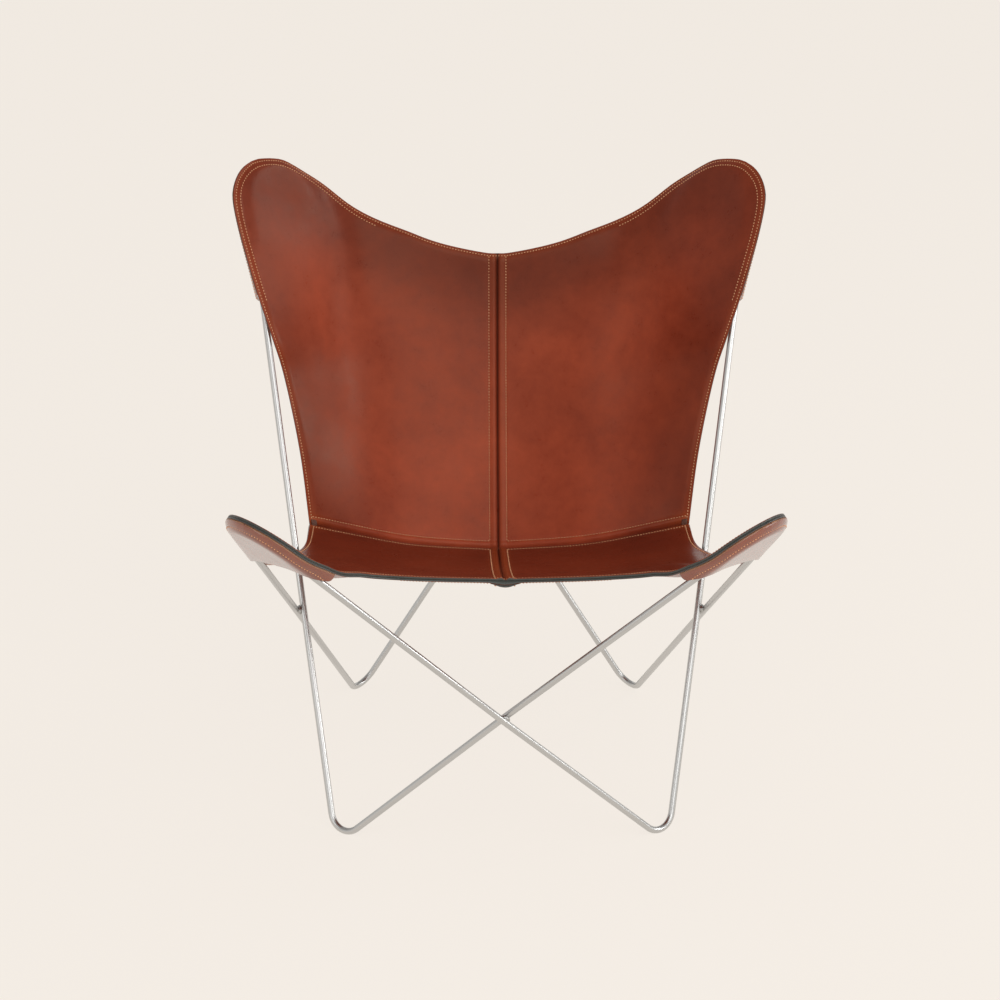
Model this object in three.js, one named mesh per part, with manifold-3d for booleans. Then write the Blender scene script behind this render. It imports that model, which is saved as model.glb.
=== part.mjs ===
// Butterfly sling chair: two bent steel loops, welded where they cross, carry a two-layer leather sling
// that hooks over their four upper bends. Millimetres, +Z up, the front of the chair faces -Y.
import * as THREE from 'three';
import Module from 'manifold-3d';

const wasm = await Module();
wasm.setup();
const { Manifold, Mesh: SolidMesh } = wasm;

const vec = (x, y, z) => new THREE.Vector3(x, y, z);
const UP = vec(0, 0, 1);

// Fits
const CLEARANCE = 0.3; // air between pieces that touch
const WELD_GAP = 1.0; // between two rods at a crossing, filled by the weld

// Frame rod. Corners are where the straight rods of the right half would meet if they had no bends.
const ROD_D = 10;
const FOOT_BEND_R = 30; // centre line
const UPPER_BEND_R = 56; // centre line of the four bends that carry the sling
const CROSSING_BEND_R = 300; // slight set that lets the rods pass each other
const FOOT_FLAT = 0.5; // ground off under each foot
const FRONT_FOOT = { x: 247, y: -263 };
const REAR_FOOT = { x: 228, y: 263 };
const WING_CORNER = vec(393, -490, 618);
const TOP_CORNER = vec(403, 260, 999);
const WELD_REACH = 11; // half length of a weld along the rods
const WELD_HALF_HEIGHT = 5.5;

// Sling layers
const FACE_T = 3.4;
const LINING_T = 3.0;
const POCKET_T = 2.6;
const SEAM_GAP = 0.6; // between neighbouring panels
const STRIP_T = 2.0; // tape that backs the seams
const STRIP_W = 40;
const CROSS_STRIP = 0.97; // share of the width that the tape across the sling reaches

// Sling, right half, on the plane between face and lining
const TOP_CENTRE = vec(0, 285, 734);
const SEAM_CENTRE = vec(0, 90, 309);
const SEAM_END = vec(291, 25, 378);
const FRONT_CENTRE = vec(0, -335, 436);
const ARMPIT = vec(298, -80, 379);
const SEAT_SAG = 14; // of the seat's centre line below a straight line
const BACK_SAG = 26; // of the back's centre line behind a straight line
const TOP_EDGE = [vec(94, 285, 752), vec(157, 288, 777), vec(218, 288, 810), vec(272, 284, 848)];
const SIDE_EDGE = [vec(305, 52, 489), vec(330, 79, 610)];
const FRONT_EDGE = [vec(139, -362, 451), vec(212, -415, 481)];
const LOBE_MARGIN = 37; // leather beyond the rod's centre line, outside a top bend
const LOBE_TOP_MARGIN = 16; // and over it
const LOBE_SWELL = [-0.25, 1]; // it widens between these shares of the turn, rear brace -1, upright 1
const LOBE_TIP = 0.3; // share of the turn where top and side edge meet
const UPRIGHT_MARGIN = 24; // leather beyond the upright, half way up to its bend
const WING_MARGIN = 20; // leather beyond the rod's centre line round a wing
const LOBE_DROP = 5; // fall of the sewn edge beyond the rods
const WING_DROP = 1.5;
const EDGE_FALL = 20; // width of that fall, from the rod's outer side
const LOBE_REACH = 390; // how far the leather follows the upright, from the top corner
const WING_REACH_FRONT = 185; // how far it follows each wing rod, from the wing corner
const WING_REACH_REAR = 330;
const WING_POCKET_FRONT = 215; // how far a wing pocket follows each rod, from the wing corner
const WING_POCKET_REAR = 275;
const BACK_POCKET_INNER = 190; // where a back pocket starts on the top edge, from the middle
const BACK_POCKET_MOUTH = 715; // height of its other end, on the side edge
const LOBE_FLAT = [60, 230]; // the leather lies on the rods near a top bend, and is free further off
const WING_FLAT = [80, 160];
const EDGE_FADE = 2.5; // power by which the shape of the side edges fades toward the middle
const FIT_SLACK = 2.3; // play of the sling on the rods
const POCKET_PLAY = 3; // play of the rods in a pocket
const POCKET_SLOPE = 0.3; // fall of a pocket's tent away from the rod inside it
const POCKET_TENT = 90; // how far from a rod the tent reaches
const POCKET_RISE = [0, 3, 6, 9, 13, 18]; // distances from a sewn edge at which a pocket's rise is shaped
const ROD_STEP = 6; // spacing of the places on the rods that a pocket is fitted over

const STEEL = new THREE.MeshStandardMaterial({ color: 0xb9b8b4, roughness: 0.28, metalness: 1 });
const WELD_STEEL = new THREE.MeshStandardMaterial({ color: 0xa5a39d, roughness: 0.45, metalness: 1 });
const LEATHER = new THREE.MeshStandardMaterial({ color: 0x8a3a26, roughness: 0.42, metalness: 0 });
const LINING = new THREE.MeshStandardMaterial({ color: 0x7d3826, roughness: 0.6, metalness: 0 });

const part = new THREE.Group();
part.name = 'butterfly_sling_chair';

const mirrored = (p, side) => vec(p.x * side, p.y, p.z);

// Solids and meshes

function geometryFrom(positions, triangles) {
  const geometry = new THREE.BufferGeometry();
  const coordinates = positions.flatMap((p) => p.toArray());
  geometry.setAttribute('position', new THREE.Float32BufferAttribute(coordinates, 3));
  geometry.setIndex(triangles);
  geometry.computeVertexNormals();
  return geometry;
}

function toSolid(geometry) {
  return new Manifold(new SolidMesh({
    numProp: 3,
    vertProperties: new Float32Array(geometry.attributes.position.array),
    triVerts: new Uint32Array(geometry.index.array),
  }));
}

function toGeometry(solid) {
  const mesh = solid.getMesh();
  const geometry = new THREE.BufferGeometry();
  geometry.setAttribute('position', new THREE.Float32BufferAttribute(mesh.vertProperties, 3));
  geometry.setIndex([...mesh.triVerts]);
  geometry.computeVertexNormals();
  return geometry;
}

function add(name, geometry, material) {
  const mesh = new THREE.Mesh(geometry, material);
  mesh.name = name;
  part.add(mesh);
}

// Frame

/** Arc that rounds the corner p between its neighbours, as centre-line points. */
function bend(p, before, after, radius, steps) {
  const a = before.clone().sub(p).normalize();
  const b = after.clone().sub(p).normalize();
  const half = a.angleTo(b) / 2;
  const bisector = a.clone().add(b).normalize();
  const centre = p.clone().addScaledVector(bisector, radius / Math.sin(half));
  const tangent = radius / Math.tan(half);
  const start = p.clone().addScaledVector(a, tangent).sub(centre);
  const end = p.clone().addScaledVector(b, tangent).sub(centre);
  const turn = Math.PI - 2 * half;
  const points = [];
  for (let i = 0; i <= steps; i++) {
    const t = i / steps;
    points.push(centre.clone()
      .addScaledVector(start, Math.sin((1 - t) * turn) / Math.sin(turn))
      .addScaledVector(end, Math.sin(t * turn) / Math.sin(turn)));
  }
  return { centre, points, a, b, bisector, tangent };
}

/** Points where two crossing rods pass, moved apart along their common normal, the first toward nearer. */
function passing([a1, a2], [b1, b2], nearer) {
  const da = a2.clone().sub(a1);
  const db = b2.clone().sub(b1);
  const normal = da.clone().cross(db).normalize();
  if (normal.dot(nearer) < 0) normal.negate();
  const between = b1.clone().sub(a1);
  const cross = da.clone().cross(db);
  const ta = between.clone().cross(db).dot(cross) / cross.lengthSq();
  const tb = between.clone().cross(da).dot(cross) / cross.lengthSq();
  const middle = a1.clone().addScaledVector(da, ta)
    .add(b1.clone().addScaledVector(db, tb))
    .multiplyScalar(0.5);
  const apart = (ROD_D + WELD_GAP) / 2;
  return {
    middle,
    normal,
    along: [da.normalize(), db.normalize()],
    first: middle.clone().addScaledVector(normal, apart),
    second: middle.clone().addScaledVector(normal, -apart),
  };
}

/** The frame for given heights of the foot corners: the first loop has its front foot on the right. */
function frameAt([first, second]) {
  const foot = (side) => vec(FRONT_FOOT.x * side, FRONT_FOOT.y, (side > 0 ? first : second).front);
  const heel = (side) => vec(REAR_FOOT.x * side, REAR_FOOT.y, (side > 0 ? second : first).rear);
  const wing = (side) => mirrored(WING_CORNER, side);
  const top = (side) => mirrored(TOP_CORNER, side);
  const crossings = {
    front: passing([foot(1), wing(-1)], [foot(-1), wing(1)], vec(0, -1, 0)),
    rear: passing([heel(1), top(-1)], [heel(-1), top(1)], vec(0, -1, 0)),
    right: passing([top(1), foot(1)], [wing(1), heel(1)], vec(-1, 0, 0)),
    left: passing([top(-1), foot(-1)], [wing(-1), heel(-1)], vec(1, 0, 0)),
  };
  const loop = (side) => [
    { at: foot(side), r: FOOT_BEND_R, steps: 10 },
    { at: side > 0 ? crossings.front.first : crossings.front.second, r: CROSSING_BEND_R, steps: 2 },
    { at: wing(-side), r: UPPER_BEND_R, steps: 14 },
    { at: side > 0 ? crossings.left.second : crossings.right.second, r: CROSSING_BEND_R, steps: 2 },
    { at: heel(-side), r: FOOT_BEND_R, steps: 10 },
    { at: side > 0 ? crossings.rear.second : crossings.rear.first, r: CROSSING_BEND_R, steps: 2 },
    { at: top(side), r: UPPER_BEND_R, steps: 14 },
    { at: side > 0 ? crossings.right.first : crossings.left.first, r: CROSSING_BEND_R, steps: 2 },
  ];
  const bends = [1, -1].map((side) => {
    const corners = loop(side);
    return corners.map((c, i) => bend(
      c.at,
      corners.at(i - 1).at,
      corners[(i + 1) % corners.length].at,
      c.r,
      c.steps,
    ));
  });
  // the bends that the sling is cut for, without the slight set at the crossings
  const topBend = bend(top(1), foot(1), heel(-1), UPPER_BEND_R, 1);
  const wingBend = bend(wing(1), foot(-1), heel(1), UPPER_BEND_R, 1);
  return { bends, crossings, topBend, wingBend };
}

/** Lowers or lifts the foot corners until every foot bend rests on the floor with its flat. */
function settledFrame() {
  const rest = ROD_D / 2 - FOOT_FLAT;
  const lowest = (arc) => Math.min(...arc.points.map((p) => p.z));
  const heights = [{ front: 0, rear: 0 }, { front: 0, rear: 0 }];
  for (let i = 0; i < 8; i++) {
    frameAt(heights).bends.forEach((loop, k) => {
      heights[k].front += rest - lowest(loop[0]);
      heights[k].rear += rest - lowest(loop[4]);
    });
  }
  return frameAt(heights);
}

/** Round rod along a closed centre line. */
function closedRod(points, diameter, sides) {
  const count = points.length;
  const tangents = points.map((_, i) => points[(i + 1) % count].clone().sub(points.at(i - 1)).normalize());
  const normals = [vec(0, 0, 1).cross(tangents[0]).normalize()];
  for (let i = 1; i <= count; i++) {
    const turn = new THREE.Quaternion().setFromUnitVectors(tangents[i - 1], tangents[i % count]);
    normals.push(normals[i - 1].clone().applyQuaternion(turn));
  }
  // the last normal meets the first again after sharing out the twist
  const closing = normals[count].clone().cross(normals[0]).dot(tangents[0]);
  const twist = Math.atan2(closing, normals[count].dot(normals[0]));
  const positions = [];
  const triangles = [];
  points.forEach((p, i) => {
    const n = normals[i].clone().applyAxisAngle(tangents[i], twist * i / count);
    const b = tangents[i].clone().cross(n);
    for (let k = 0; k < sides; k++) {
      const angle = 2 * Math.PI * k / sides;
      positions.push(p.clone()
        .addScaledVector(n, diameter / 2 * Math.cos(angle))
        .addScaledVector(b, diameter / 2 * Math.sin(angle)));
      const j = (i + 1) % count;
      const l = (k + 1) % sides;
      triangles.push(i * sides + k, i * sides + l, j * sides + l);
      triangles.push(i * sides + k, j * sides + l, j * sides + k);
    }
  });
  return geometryFrom(positions, triangles);
}

const ROD_SIDES = 14;
const frame = settledFrame();
const rodLines = frame.bends.map((loop) => loop.flatMap((arc) => arc.points));
rodLines.forEach((line, i) => {
  const rod = toSolid(closedRod(line, ROD_D, ROD_SIDES)).trimByPlane([0, 0, 1], 0);
  add(i === 0 ? 'frame_loop_right_foot' : 'frame_loop_left_foot', toGeometry(rod), STEEL);
});

// Welds: a bead fills the wedge between the two rods of each crossing
const grownRods = rodLines.map((line) => toSolid(closedRod(line, ROD_D + 2 * CLEARANCE, ROD_SIDES)));
for (const [name, c] of Object.entries(frame.crossings)) {
  const bead = new THREE.SphereGeometry(1, 14, 8);
  const split = c.along[0].clone().add(c.along[1]).normalize();
  const basis = new THREE.Matrix4().makeBasis(
    split.clone().multiplyScalar(WELD_REACH),
    c.normal.clone().cross(split).multiplyScalar(WELD_REACH),
    c.normal.clone().multiplyScalar(WELD_HALF_HEIGHT),
  ).setPosition(c.middle);
  bead.applyMatrix4(basis);
  const merged = closedFromSphere(bead);
  const solid = grownRods.reduce((left, rod) => left.subtract(rod), toSolid(merged));
  const pieces = solid.decompose().sort((p, q) => q.volume() - p.volume());
  add(`weld_${name}`, toGeometry(pieces[0]), WELD_STEEL);
}

/** Welds the seam and poles of a sphere so that it is one closed surface. */
function closedFromSphere(sphere) {
  const position = sphere.attributes.position;
  const keys = new Map();
  const points = [];
  const remap = [];
  for (let i = 0; i < position.count; i++) {
    const p = new THREE.Vector3().fromBufferAttribute(position, i);
    const key = p.toArray().map((x) => x.toFixed(3)).join();
    if (!keys.has(key)) {
      keys.set(key, points.length);
      points.push(p);
    }
    remap.push(keys.get(key));
  }
  const triangles = [];
  for (let i = 0; i < sphere.index.count; i += 3) {
    const [a, b, c] = [0, 1, 2].map((k) => remap[sphere.index.getX(i + k)]);
    if (a !== b && b !== c && c !== a) triangles.push(a, b, c);
  }
  return geometryFrom(points, triangles);
}

// Sling

// depth of the rods' centre line under the sling's plane
const ROD_DEPTH = CLEARANCE / 2 + LINING_T + CLEARANCE + FIT_SLACK + ROD_D / 2;

/** Where the sling lies on the two rods of a bend: the outline beside them, and the height over them. */
function restOn(corner, arc, sitter, flat, drop) {
  const normal = arc.a.clone().cross(arc.b).normalize();
  if (normal.dot(sitter) < 0) normal.negate();
  const away = (along) => along.clone().multiplyScalar(along.dot(arc.bisector)).sub(arc.bisector).normalize();
  const tip = arc.bisector.clone().negate();
  const liftAt = (beyond) => ROD_DEPTH - drop * THREE.MathUtils.smoothstep(beyond - ROD_D / 2, 0, EDGE_FALL);
  const outside = (p) => {
    const off = p.clone().sub(arc.centre).projectOnPlane(normal);
    if (off.dot(arc.a) < 0 && off.dot(arc.b) < 0) return off.length() - UPPER_BEND_R;
    const fromCorner = p.clone().sub(corner);
    return Math.max(fromCorner.dot(away(arc.a)), fromCorner.dot(away(arc.b)));
  };
  return {
    // share 0 is the tip of the bend, 1 is where it runs into the straight rod
    turn: (along, share, margin) => arc.centre.clone()
      .addScaledVector(tip.clone().lerp(away(along), share).normalize(), UPPER_BEND_R + margin)
      .addScaledVector(normal, liftAt(margin)),
    beside: (along, distance, margin) => corner.clone()
      .addScaledVector(along, distance)
      .addScaledVector(away(along), margin)
      .addScaledVector(normal, ROD_DEPTH),
    // brings a point near the bend to the leather's height over the rods
    hold: (p) => {
      const near = 1 - THREE.MathUtils.smoothstep(p.distanceTo(arc.centre), ...flat);
      const missing = liftAt(outside(p)) - p.clone().sub(corner).dot(normal);
      return p.addScaledVector(normal, missing * near);
    },
  };
}

const lobe = restOn(TOP_CORNER, frame.topBend, vec(0, -1, 0), LOBE_FLAT, LOBE_DROP);
const wing = restOn(WING_CORNER, frame.wingBend, UP, WING_FLAT, WING_DROP);
const upright = frame.topBend.a; // directions of the rods from their upper corners
const rearBrace = frame.topBend.b;
const frontBrace = frame.wingBend.a;
const rearLeg = frame.wingBend.b;

const curve = (...points) => new THREE.CatmullRomCurve3(points, false, 'centripetal');
/** Point just beside the middle that lets an edge cross it level. */
const level = (centre, next) => vec(
  next.x * 0.15,
  THREE.MathUtils.lerp(centre.y, next.y, 0.15 ** 2),
  THREE.MathUtils.lerp(centre.z, next.z, 0.15 ** 2),
);
const seamMiddle = SEAM_CENTRE.clone().lerp(SEAM_END, 0.25).setX(SEAM_END.x / 2);
const backSeam = curve(SEAM_CENTRE, level(SEAM_CENTRE, seamMiddle), seamMiddle, SEAM_END);
/** Outline round a top bend at shares of its turn, -1 at the rear brace and 1 at the upright. */
const roundLobe = (...shares) => shares.map((share) => lobe.turn(
  share > 0 ? upright : rearBrace,
  Math.abs(share),
  THREE.MathUtils.lerp(LOBE_TOP_MARGIN, LOBE_MARGIN, THREE.MathUtils.smoothstep(share, ...LOBE_SWELL)),
));
const roundWing = (along) => [1, 0.75, 0.5, 0.25, 0].map((share) => wing.turn(along, share, WING_MARGIN));
const topEdge = curve(
  TOP_CENTRE,
  level(TOP_CENTRE, TOP_EDGE[0]),
  ...TOP_EDGE,
  ...roundLobe(-0.6, -0.4, -0.2, 0, 0.15, LOBE_TIP),
);
const sideEdge = curve(
  SEAM_END,
  ...SIDE_EDGE,
  lobe.beside(upright, LOBE_REACH, 0),
  lobe.beside(upright, (LOBE_REACH + frame.topBend.tangent) / 2, UPRIGHT_MARGIN),
  ...roundLobe(1, 0.8, 0.6, 0.45, LOBE_TIP),
);
const frontEdge = curve(
  FRONT_CENTRE,
  level(FRONT_CENTRE, FRONT_EDGE[0]),
  ...FRONT_EDGE,
  wing.beside(frontBrace, WING_REACH_FRONT, WING_MARGIN),
  ...roundWing(frontBrace),
);
const rearEdge = curve(
  SEAM_END,
  ARMPIT,
  wing.beside(rearLeg, WING_REACH_REAR, WING_MARGIN),
  wing.beside(rearLeg, (frame.wingBend.tangent + WING_REACH_REAR) / 2, WING_MARGIN),
  ...roundWing(rearLeg),
);

function saggingLine(from, to, sag, direction) {
  const middle = from.clone().lerp(to, 0.5).addScaledVector(direction, 2 * sag);
  return new THREE.QuadraticBezierCurve3(from, middle, to);
}

const backCentre = saggingLine(SEAM_CENTRE, TOP_CENTRE, BACK_SAG, vec(0, 1, 0));
const seatCentre = saggingLine(SEAM_CENTRE, FRONT_CENTRE, SEAT_SAG, vec(0, 0, -1));

/** Surface stretched between four edges that share their end points; the outer edge's shape fades inward. */
function stretched(low, high, inner, outer) {
  return (u, v) => {
    const p = low.getPointAt(u).lerp(high.getPointAt(u), v);
    const innerChord = low.getPointAt(0).lerp(high.getPointAt(0), v);
    const outerChord = low.getPointAt(1).lerp(high.getPointAt(1), v);
    p.addScaledVector(inner.getPointAt(v).sub(innerChord), 1 - u * u);
    return p.addScaledVector(outer.getPointAt(v).sub(outerChord), u ** EDGE_FADE);
  };
}

const backSurface = stretched(backSeam, topEdge, backCentre, sideEdge);
const seatSurface = stretched(backSeam, frontEdge, seatCentre, rearEdge);

/** The sling's plane: u runs from the left edge (-1) to the right (1), w from the front to the top. */
function slingPoint(u, w) {
  const p = w >= 0 ? backSurface(Math.abs(u), w) : seatSurface(Math.abs(u), -w);
  (w >= 0 ? lobe : wing).hold(p);
  return mirrored(p, Math.sign(u) || 1);
}

/** Unit normal on the sitter's side. */
function slingNormal(u, w) {
  const step = 0.03;
  const limit = 0.94;
  const cu = THREE.MathUtils.clamp(u, -limit, limit);
  const cw = THREE.MathUtils.clamp(w, -limit, limit);
  const du = slingPoint(cu + step, cw).sub(slingPoint(cu - step, cw));
  const dw = slingPoint(cu, cw + step).sub(slingPoint(cu, cw - step));
  return du.cross(dw).normalize();
}

/** Closed sheet over a grid of [u, w] places, between two heights over the sling's plane. */
function sheet(grid, lower, upper) {
  const rows = grid.length;
  const columns = grid[0].length;
  const positions = [];
  for (const height of [lower, upper]) {
    for (const row of grid) {
      for (const [u, w] of row) {
        const h = typeof height === 'function' ? height(u, w) : height;
        positions.push(slingPoint(u, w).addScaledVector(slingNormal(u, w), h));
      }
    }
  }
  const at = (layer, i, j) => layer * rows * columns + i * columns + j;
  const triangles = [];
  const quad = (a, b, c, d) => triangles.push(a, b, c, a, c, d);
  for (let i = 0; i + 1 < rows; i++) {
    for (let j = 0; j + 1 < columns; j++) {
      quad(at(1, i, j), at(1, i, j + 1), at(1, i + 1, j + 1), at(1, i + 1, j));
      quad(at(0, i, j), at(0, i + 1, j), at(0, i + 1, j + 1), at(0, i, j + 1));
    }
    quad(at(0, i, 0), at(1, i, 0), at(1, i + 1, 0), at(0, i + 1, 0));
    const last = columns - 1;
    quad(at(0, i, last), at(0, i + 1, last), at(1, i + 1, last), at(1, i, last));
  }
  for (let j = 0; j + 1 < columns; j++) {
    const top = rows - 1;
    quad(at(0, 0, j), at(0, 0, j + 1), at(1, 0, j + 1), at(1, 0, j));
    quad(at(0, top, j), at(1, top, j), at(1, top, j + 1), at(0, top, j + 1));
  }
  return geometryFrom(positions, triangles);
}

const range = (from, to, count) => (
  Array.from({ length: count + 1 }, (_, i) => from + (to - from) * i / count)
);
const PANEL_COLUMNS = 14;
const PANEL_ROWS = 13;
const EDGE_CROWDING = 1.5; // power by which places crowd toward an edge
/** Places from a seam to an edge, closer together toward the edge. */
const towardEdge = (gap, count) => (
  range(0, 1, count).map((t) => gap + (1 - gap) * (1 - (1 - t) ** EDGE_CROWDING))
);
const backward = (places) => places.map((x) => -x).reverse();
const uGap = SEAM_GAP / 2 / topEdge.getLength();
const wGap = SEAM_GAP / 2 / seatCentre.getLength();
for (const [sideName, side] of [['right', 1], ['left', -1]]) {
  const columns = towardEdge(uGap, PANEL_COLUMNS);
  const us = side > 0 ? columns : backward(columns);
  const rows = towardEdge(wGap, PANEL_ROWS);
  for (const [area, ws] of [['back', rows], ['seat', backward(rows)]]) {
    const grid = ws.map((w) => us.map((u) => [u, w]));
    const half = CLEARANCE / 2;
    add(`${area}_panel_${sideName}`, sheet(grid, half, half + FACE_T), LEATHER);
    add(`${area}_lining_${sideName}`, sheet(grid, -half - LINING_T, -half), LINING);
  }
}

// Tape under the seams, from the front edge to the top and across the deepest line

const stripLower = CLEARANCE / 2 + LINING_T + 2 * CLEARANCE + STRIP_T;
const strip = (name, grid) => add(name, sheet(grid, -stripLower, -stripLower + STRIP_T), LINING);
const perWidth = (w) => STRIP_W / 2 / slingPoint(0.1, w).distanceTo(slingPoint(0, w)) * 0.1;
const perLength = (u, way) => STRIP_W / 2 / slingPoint(u, 0.1 * way).distanceTo(slingPoint(u, 0)) * 0.1;
const clear = 1.03; // keeps the tapes apart where they meet
const lengthwise = (ws) => ws.map((w) => range(-perWidth(w), perWidth(w), 4).map((u) => [u, w]));
strip('seam_strip_back', lengthwise(range(perLength(0, 1) * clear, 1, 14)));
strip('seam_strip_seat', lengthwise(range(-1, -perLength(0, -1) * clear, 14)));
strip('seam_strip_cross', range(-1, 1, 4).map((share) => range(-CROSS_STRIP, CROSS_STRIP, 24).map((u) => (
  [u, share * perLength(u, Math.sign(share) || 1)]
))));

// Pockets: each wraps the rods of one bend, sewn to the sling along two edges and open on the third side

const rodPlaces = rodLines.flatMap((line) => line.flatMap((p, i) => {
  const next = line[(i + 1) % line.length];
  const count = Math.ceil(p.distanceTo(next) / ROD_STEP);
  return range(0, 1 - 1 / count, Math.max(1, count - 1)).map((t) => p.clone().lerp(next, t));
}));

/** Depth under the sling's plane that clears the rods near p, falling away to the sides. */
function rodCover(p, normal) {
  let cover = 0;
  for (const rod of rodPlaces) {
    const off = p.clone().sub(rod);
    const deep = off.dot(normal);
    const beside = Math.sqrt(Math.max(0, off.lengthSq() - deep * deep));
    const fall = Math.max(0, beside - ROD_D) * POCKET_SLOPE;
    if (beside < POCKET_TENT) cover = Math.max(cover, deep + ROD_D / 2 + POCKET_PLAY - fall);
  }
  return cover;
}

function shareAlong(edge, reached) {
  return range(0, 1, 200).find((t) => reached(edge.getPointAt(t)));
}

/** Grid over the corner (1, end) of the sling, from the corner out to a mouth between two edges. */
function pocketGrid(end, mouthU, mouthW, side) {
  const rows = range(0.02, 1, 12);
  const place = (r, q) => [(1 - r * (1 - mouthU) * (1 - q)), end * (1 - r * (1 - mouthW) * q)];
  return rows.map((r) => {
    const width = slingPoint(...place(r, 0)).distanceTo(slingPoint(...place(r, 1)));
    const reach = Math.min(1, width / 3 / POCKET_RISE.at(-1));
    const near = POCKET_RISE.map((s) => s * reach / width);
    const middle = range(near.at(-1), 1 - near.at(-1), 8).slice(1, -1);
    const shares = [...near, ...middle, ...near.map((s) => 1 - s).reverse()];
    return shares.map((q) => {
      const [u, w] = place(r, q);
      return [u * side, w];
    });
  });
}

function pocket(name, end, margin, edges, mouthU, mouthW) {
  const outline = edges.flatMap((edge) => edge.getSpacedPoints(160));
  const seamDepth = CLEARANCE * 2.5 + LINING_T;
  const fullDepth = ROD_DEPTH + ROD_D / 2 + POCKET_PLAY;
  for (const [sideName, side] of [['right', 1], ['left', -1]]) {
    const depth = (u, w) => {
      const p = slingPoint(u, w);
      const onRight = mirrored(p, side);
      const inset = Math.min(...outline.map((q) => q.distanceTo(onRight)));
      const cover = Math.max(fullDepth, rodCover(p, slingNormal(u, w)));
      const risen = THREE.MathUtils.smoothstep(inset, 0, margin - ROD_D / 2 - 1);
      return -THREE.MathUtils.lerp(seamDepth, cover, risen);
    };
    const grid = pocketGrid(end, mouthU, mouthW, side);
    const flips = side * end > 0;
    const ordered = flips ? grid.map((row) => [...row].reverse()) : grid;
    add(`${name}_${sideName}`, sheet(ordered, (u, w) => depth(u, w) - POCKET_T, depth), LINING);
  }
}

const wingPocketFront = wing.beside(frontBrace, WING_POCKET_FRONT, WING_MARGIN);
const wingPocketRear = wing.beside(rearLeg, WING_POCKET_REAR, WING_MARGIN);
pocket(
  'wing_pocket', -1, WING_MARGIN, [frontEdge, rearEdge],
  shareAlong(frontEdge, (p) => p.x > wingPocketFront.x), shareAlong(rearEdge, (p) => p.y < wingPocketRear.y),
);
pocket(
  'back_pocket', 1, LOBE_TOP_MARGIN, [topEdge, sideEdge],
  shareAlong(topEdge, (p) => p.x > BACK_POCKET_INNER), shareAlong(sideEdge, (p) => p.z > BACK_POCKET_MOUTH),
);

// The origin lies on the floor under the middle of the chair's box
const box = new THREE.Box3().setFromObject(part);
const centre = box.getCenter(vec(0, 0, 0));
part.children.forEach((mesh) => mesh.geometry.translate(-centre.x, -centre.y, -box.min.z));

export default part;
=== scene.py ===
"""Butterfly sling chair: a stitched leather sling hooked over a frame of two steel rod loops.

The chair's shape is laid out in millimetres in the right half and mirrored, then set in metres in the part's frame.
"""
import math

import bpy
import numpy as np
from mathutils import Matrix


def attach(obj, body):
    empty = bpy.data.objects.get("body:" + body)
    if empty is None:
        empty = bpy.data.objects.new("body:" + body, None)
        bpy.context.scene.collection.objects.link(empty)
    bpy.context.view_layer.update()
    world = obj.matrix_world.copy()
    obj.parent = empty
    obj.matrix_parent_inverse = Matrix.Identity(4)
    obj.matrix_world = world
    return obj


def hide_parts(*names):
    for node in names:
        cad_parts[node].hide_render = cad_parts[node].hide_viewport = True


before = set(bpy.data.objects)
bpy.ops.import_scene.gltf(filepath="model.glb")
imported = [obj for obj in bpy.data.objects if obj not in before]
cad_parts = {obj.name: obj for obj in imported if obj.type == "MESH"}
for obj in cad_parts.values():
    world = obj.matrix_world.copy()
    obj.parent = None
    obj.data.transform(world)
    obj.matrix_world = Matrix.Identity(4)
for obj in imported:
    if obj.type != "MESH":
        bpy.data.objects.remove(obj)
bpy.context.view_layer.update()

MM = 0.001
UP = np.array([0.0, 0.0, 1.0])
DEPTH_SHIFT = 79.822  # moves the layout's depth to the middle of the chair

# Frame rod; corners are where the straight rods of the right half would meet if they had no bends
ROD_D = 10.0
WELD_GAP = 1.0  # between two rods at a crossing
UPPER_BEND_R = 56.0
# radius of a bend and steps round it; the crossings have a slight set that lets the rods pass each other
FOOT_BEND, UPPER_BEND, CROSSING_BEND = (30.0, 18), (UPPER_BEND_R, 26), (300.0, 6)
FOOT_FLAT = 0.5  # ground off under each foot
FRONT_FOOT, REAR_FOOT = (247.0, -263.0), (228.0, 263.0)
WING_CORNER = np.array([393.0, -490.0, 618.0])
TOP_CORNER = np.array([403.0, 260.0, 999.0])
WELD_REACH, WELD_HALF_HEIGHT = 7.2, 4.6
WELD_RIPPLE, WELD_WAVE = (0.015, 26), (0.05, 3)  # height as a share of the reach, and how many go round

# Sling layers
CLEARANCE = 0.3  # air between pieces that touch
HALF_GAP = CLEARANCE / 2
FACE_T, LINING_T, POCKET_T, TAPE_T = 3.4, 3.0, 2.2, 2.0
LEAST_T = 0.4  # of pared leather
TAPE_HALF_W = 20.0
CROSS_TAPE = 0.97  # share of the width that the tape across the sling reaches
FIT_SLACK = 1.2  # between lining and rod
ROD_DEPTH = CLEARANCE / 2 + LINING_T + CLEARANCE + FIT_SLACK + ROD_D / 2

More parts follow.
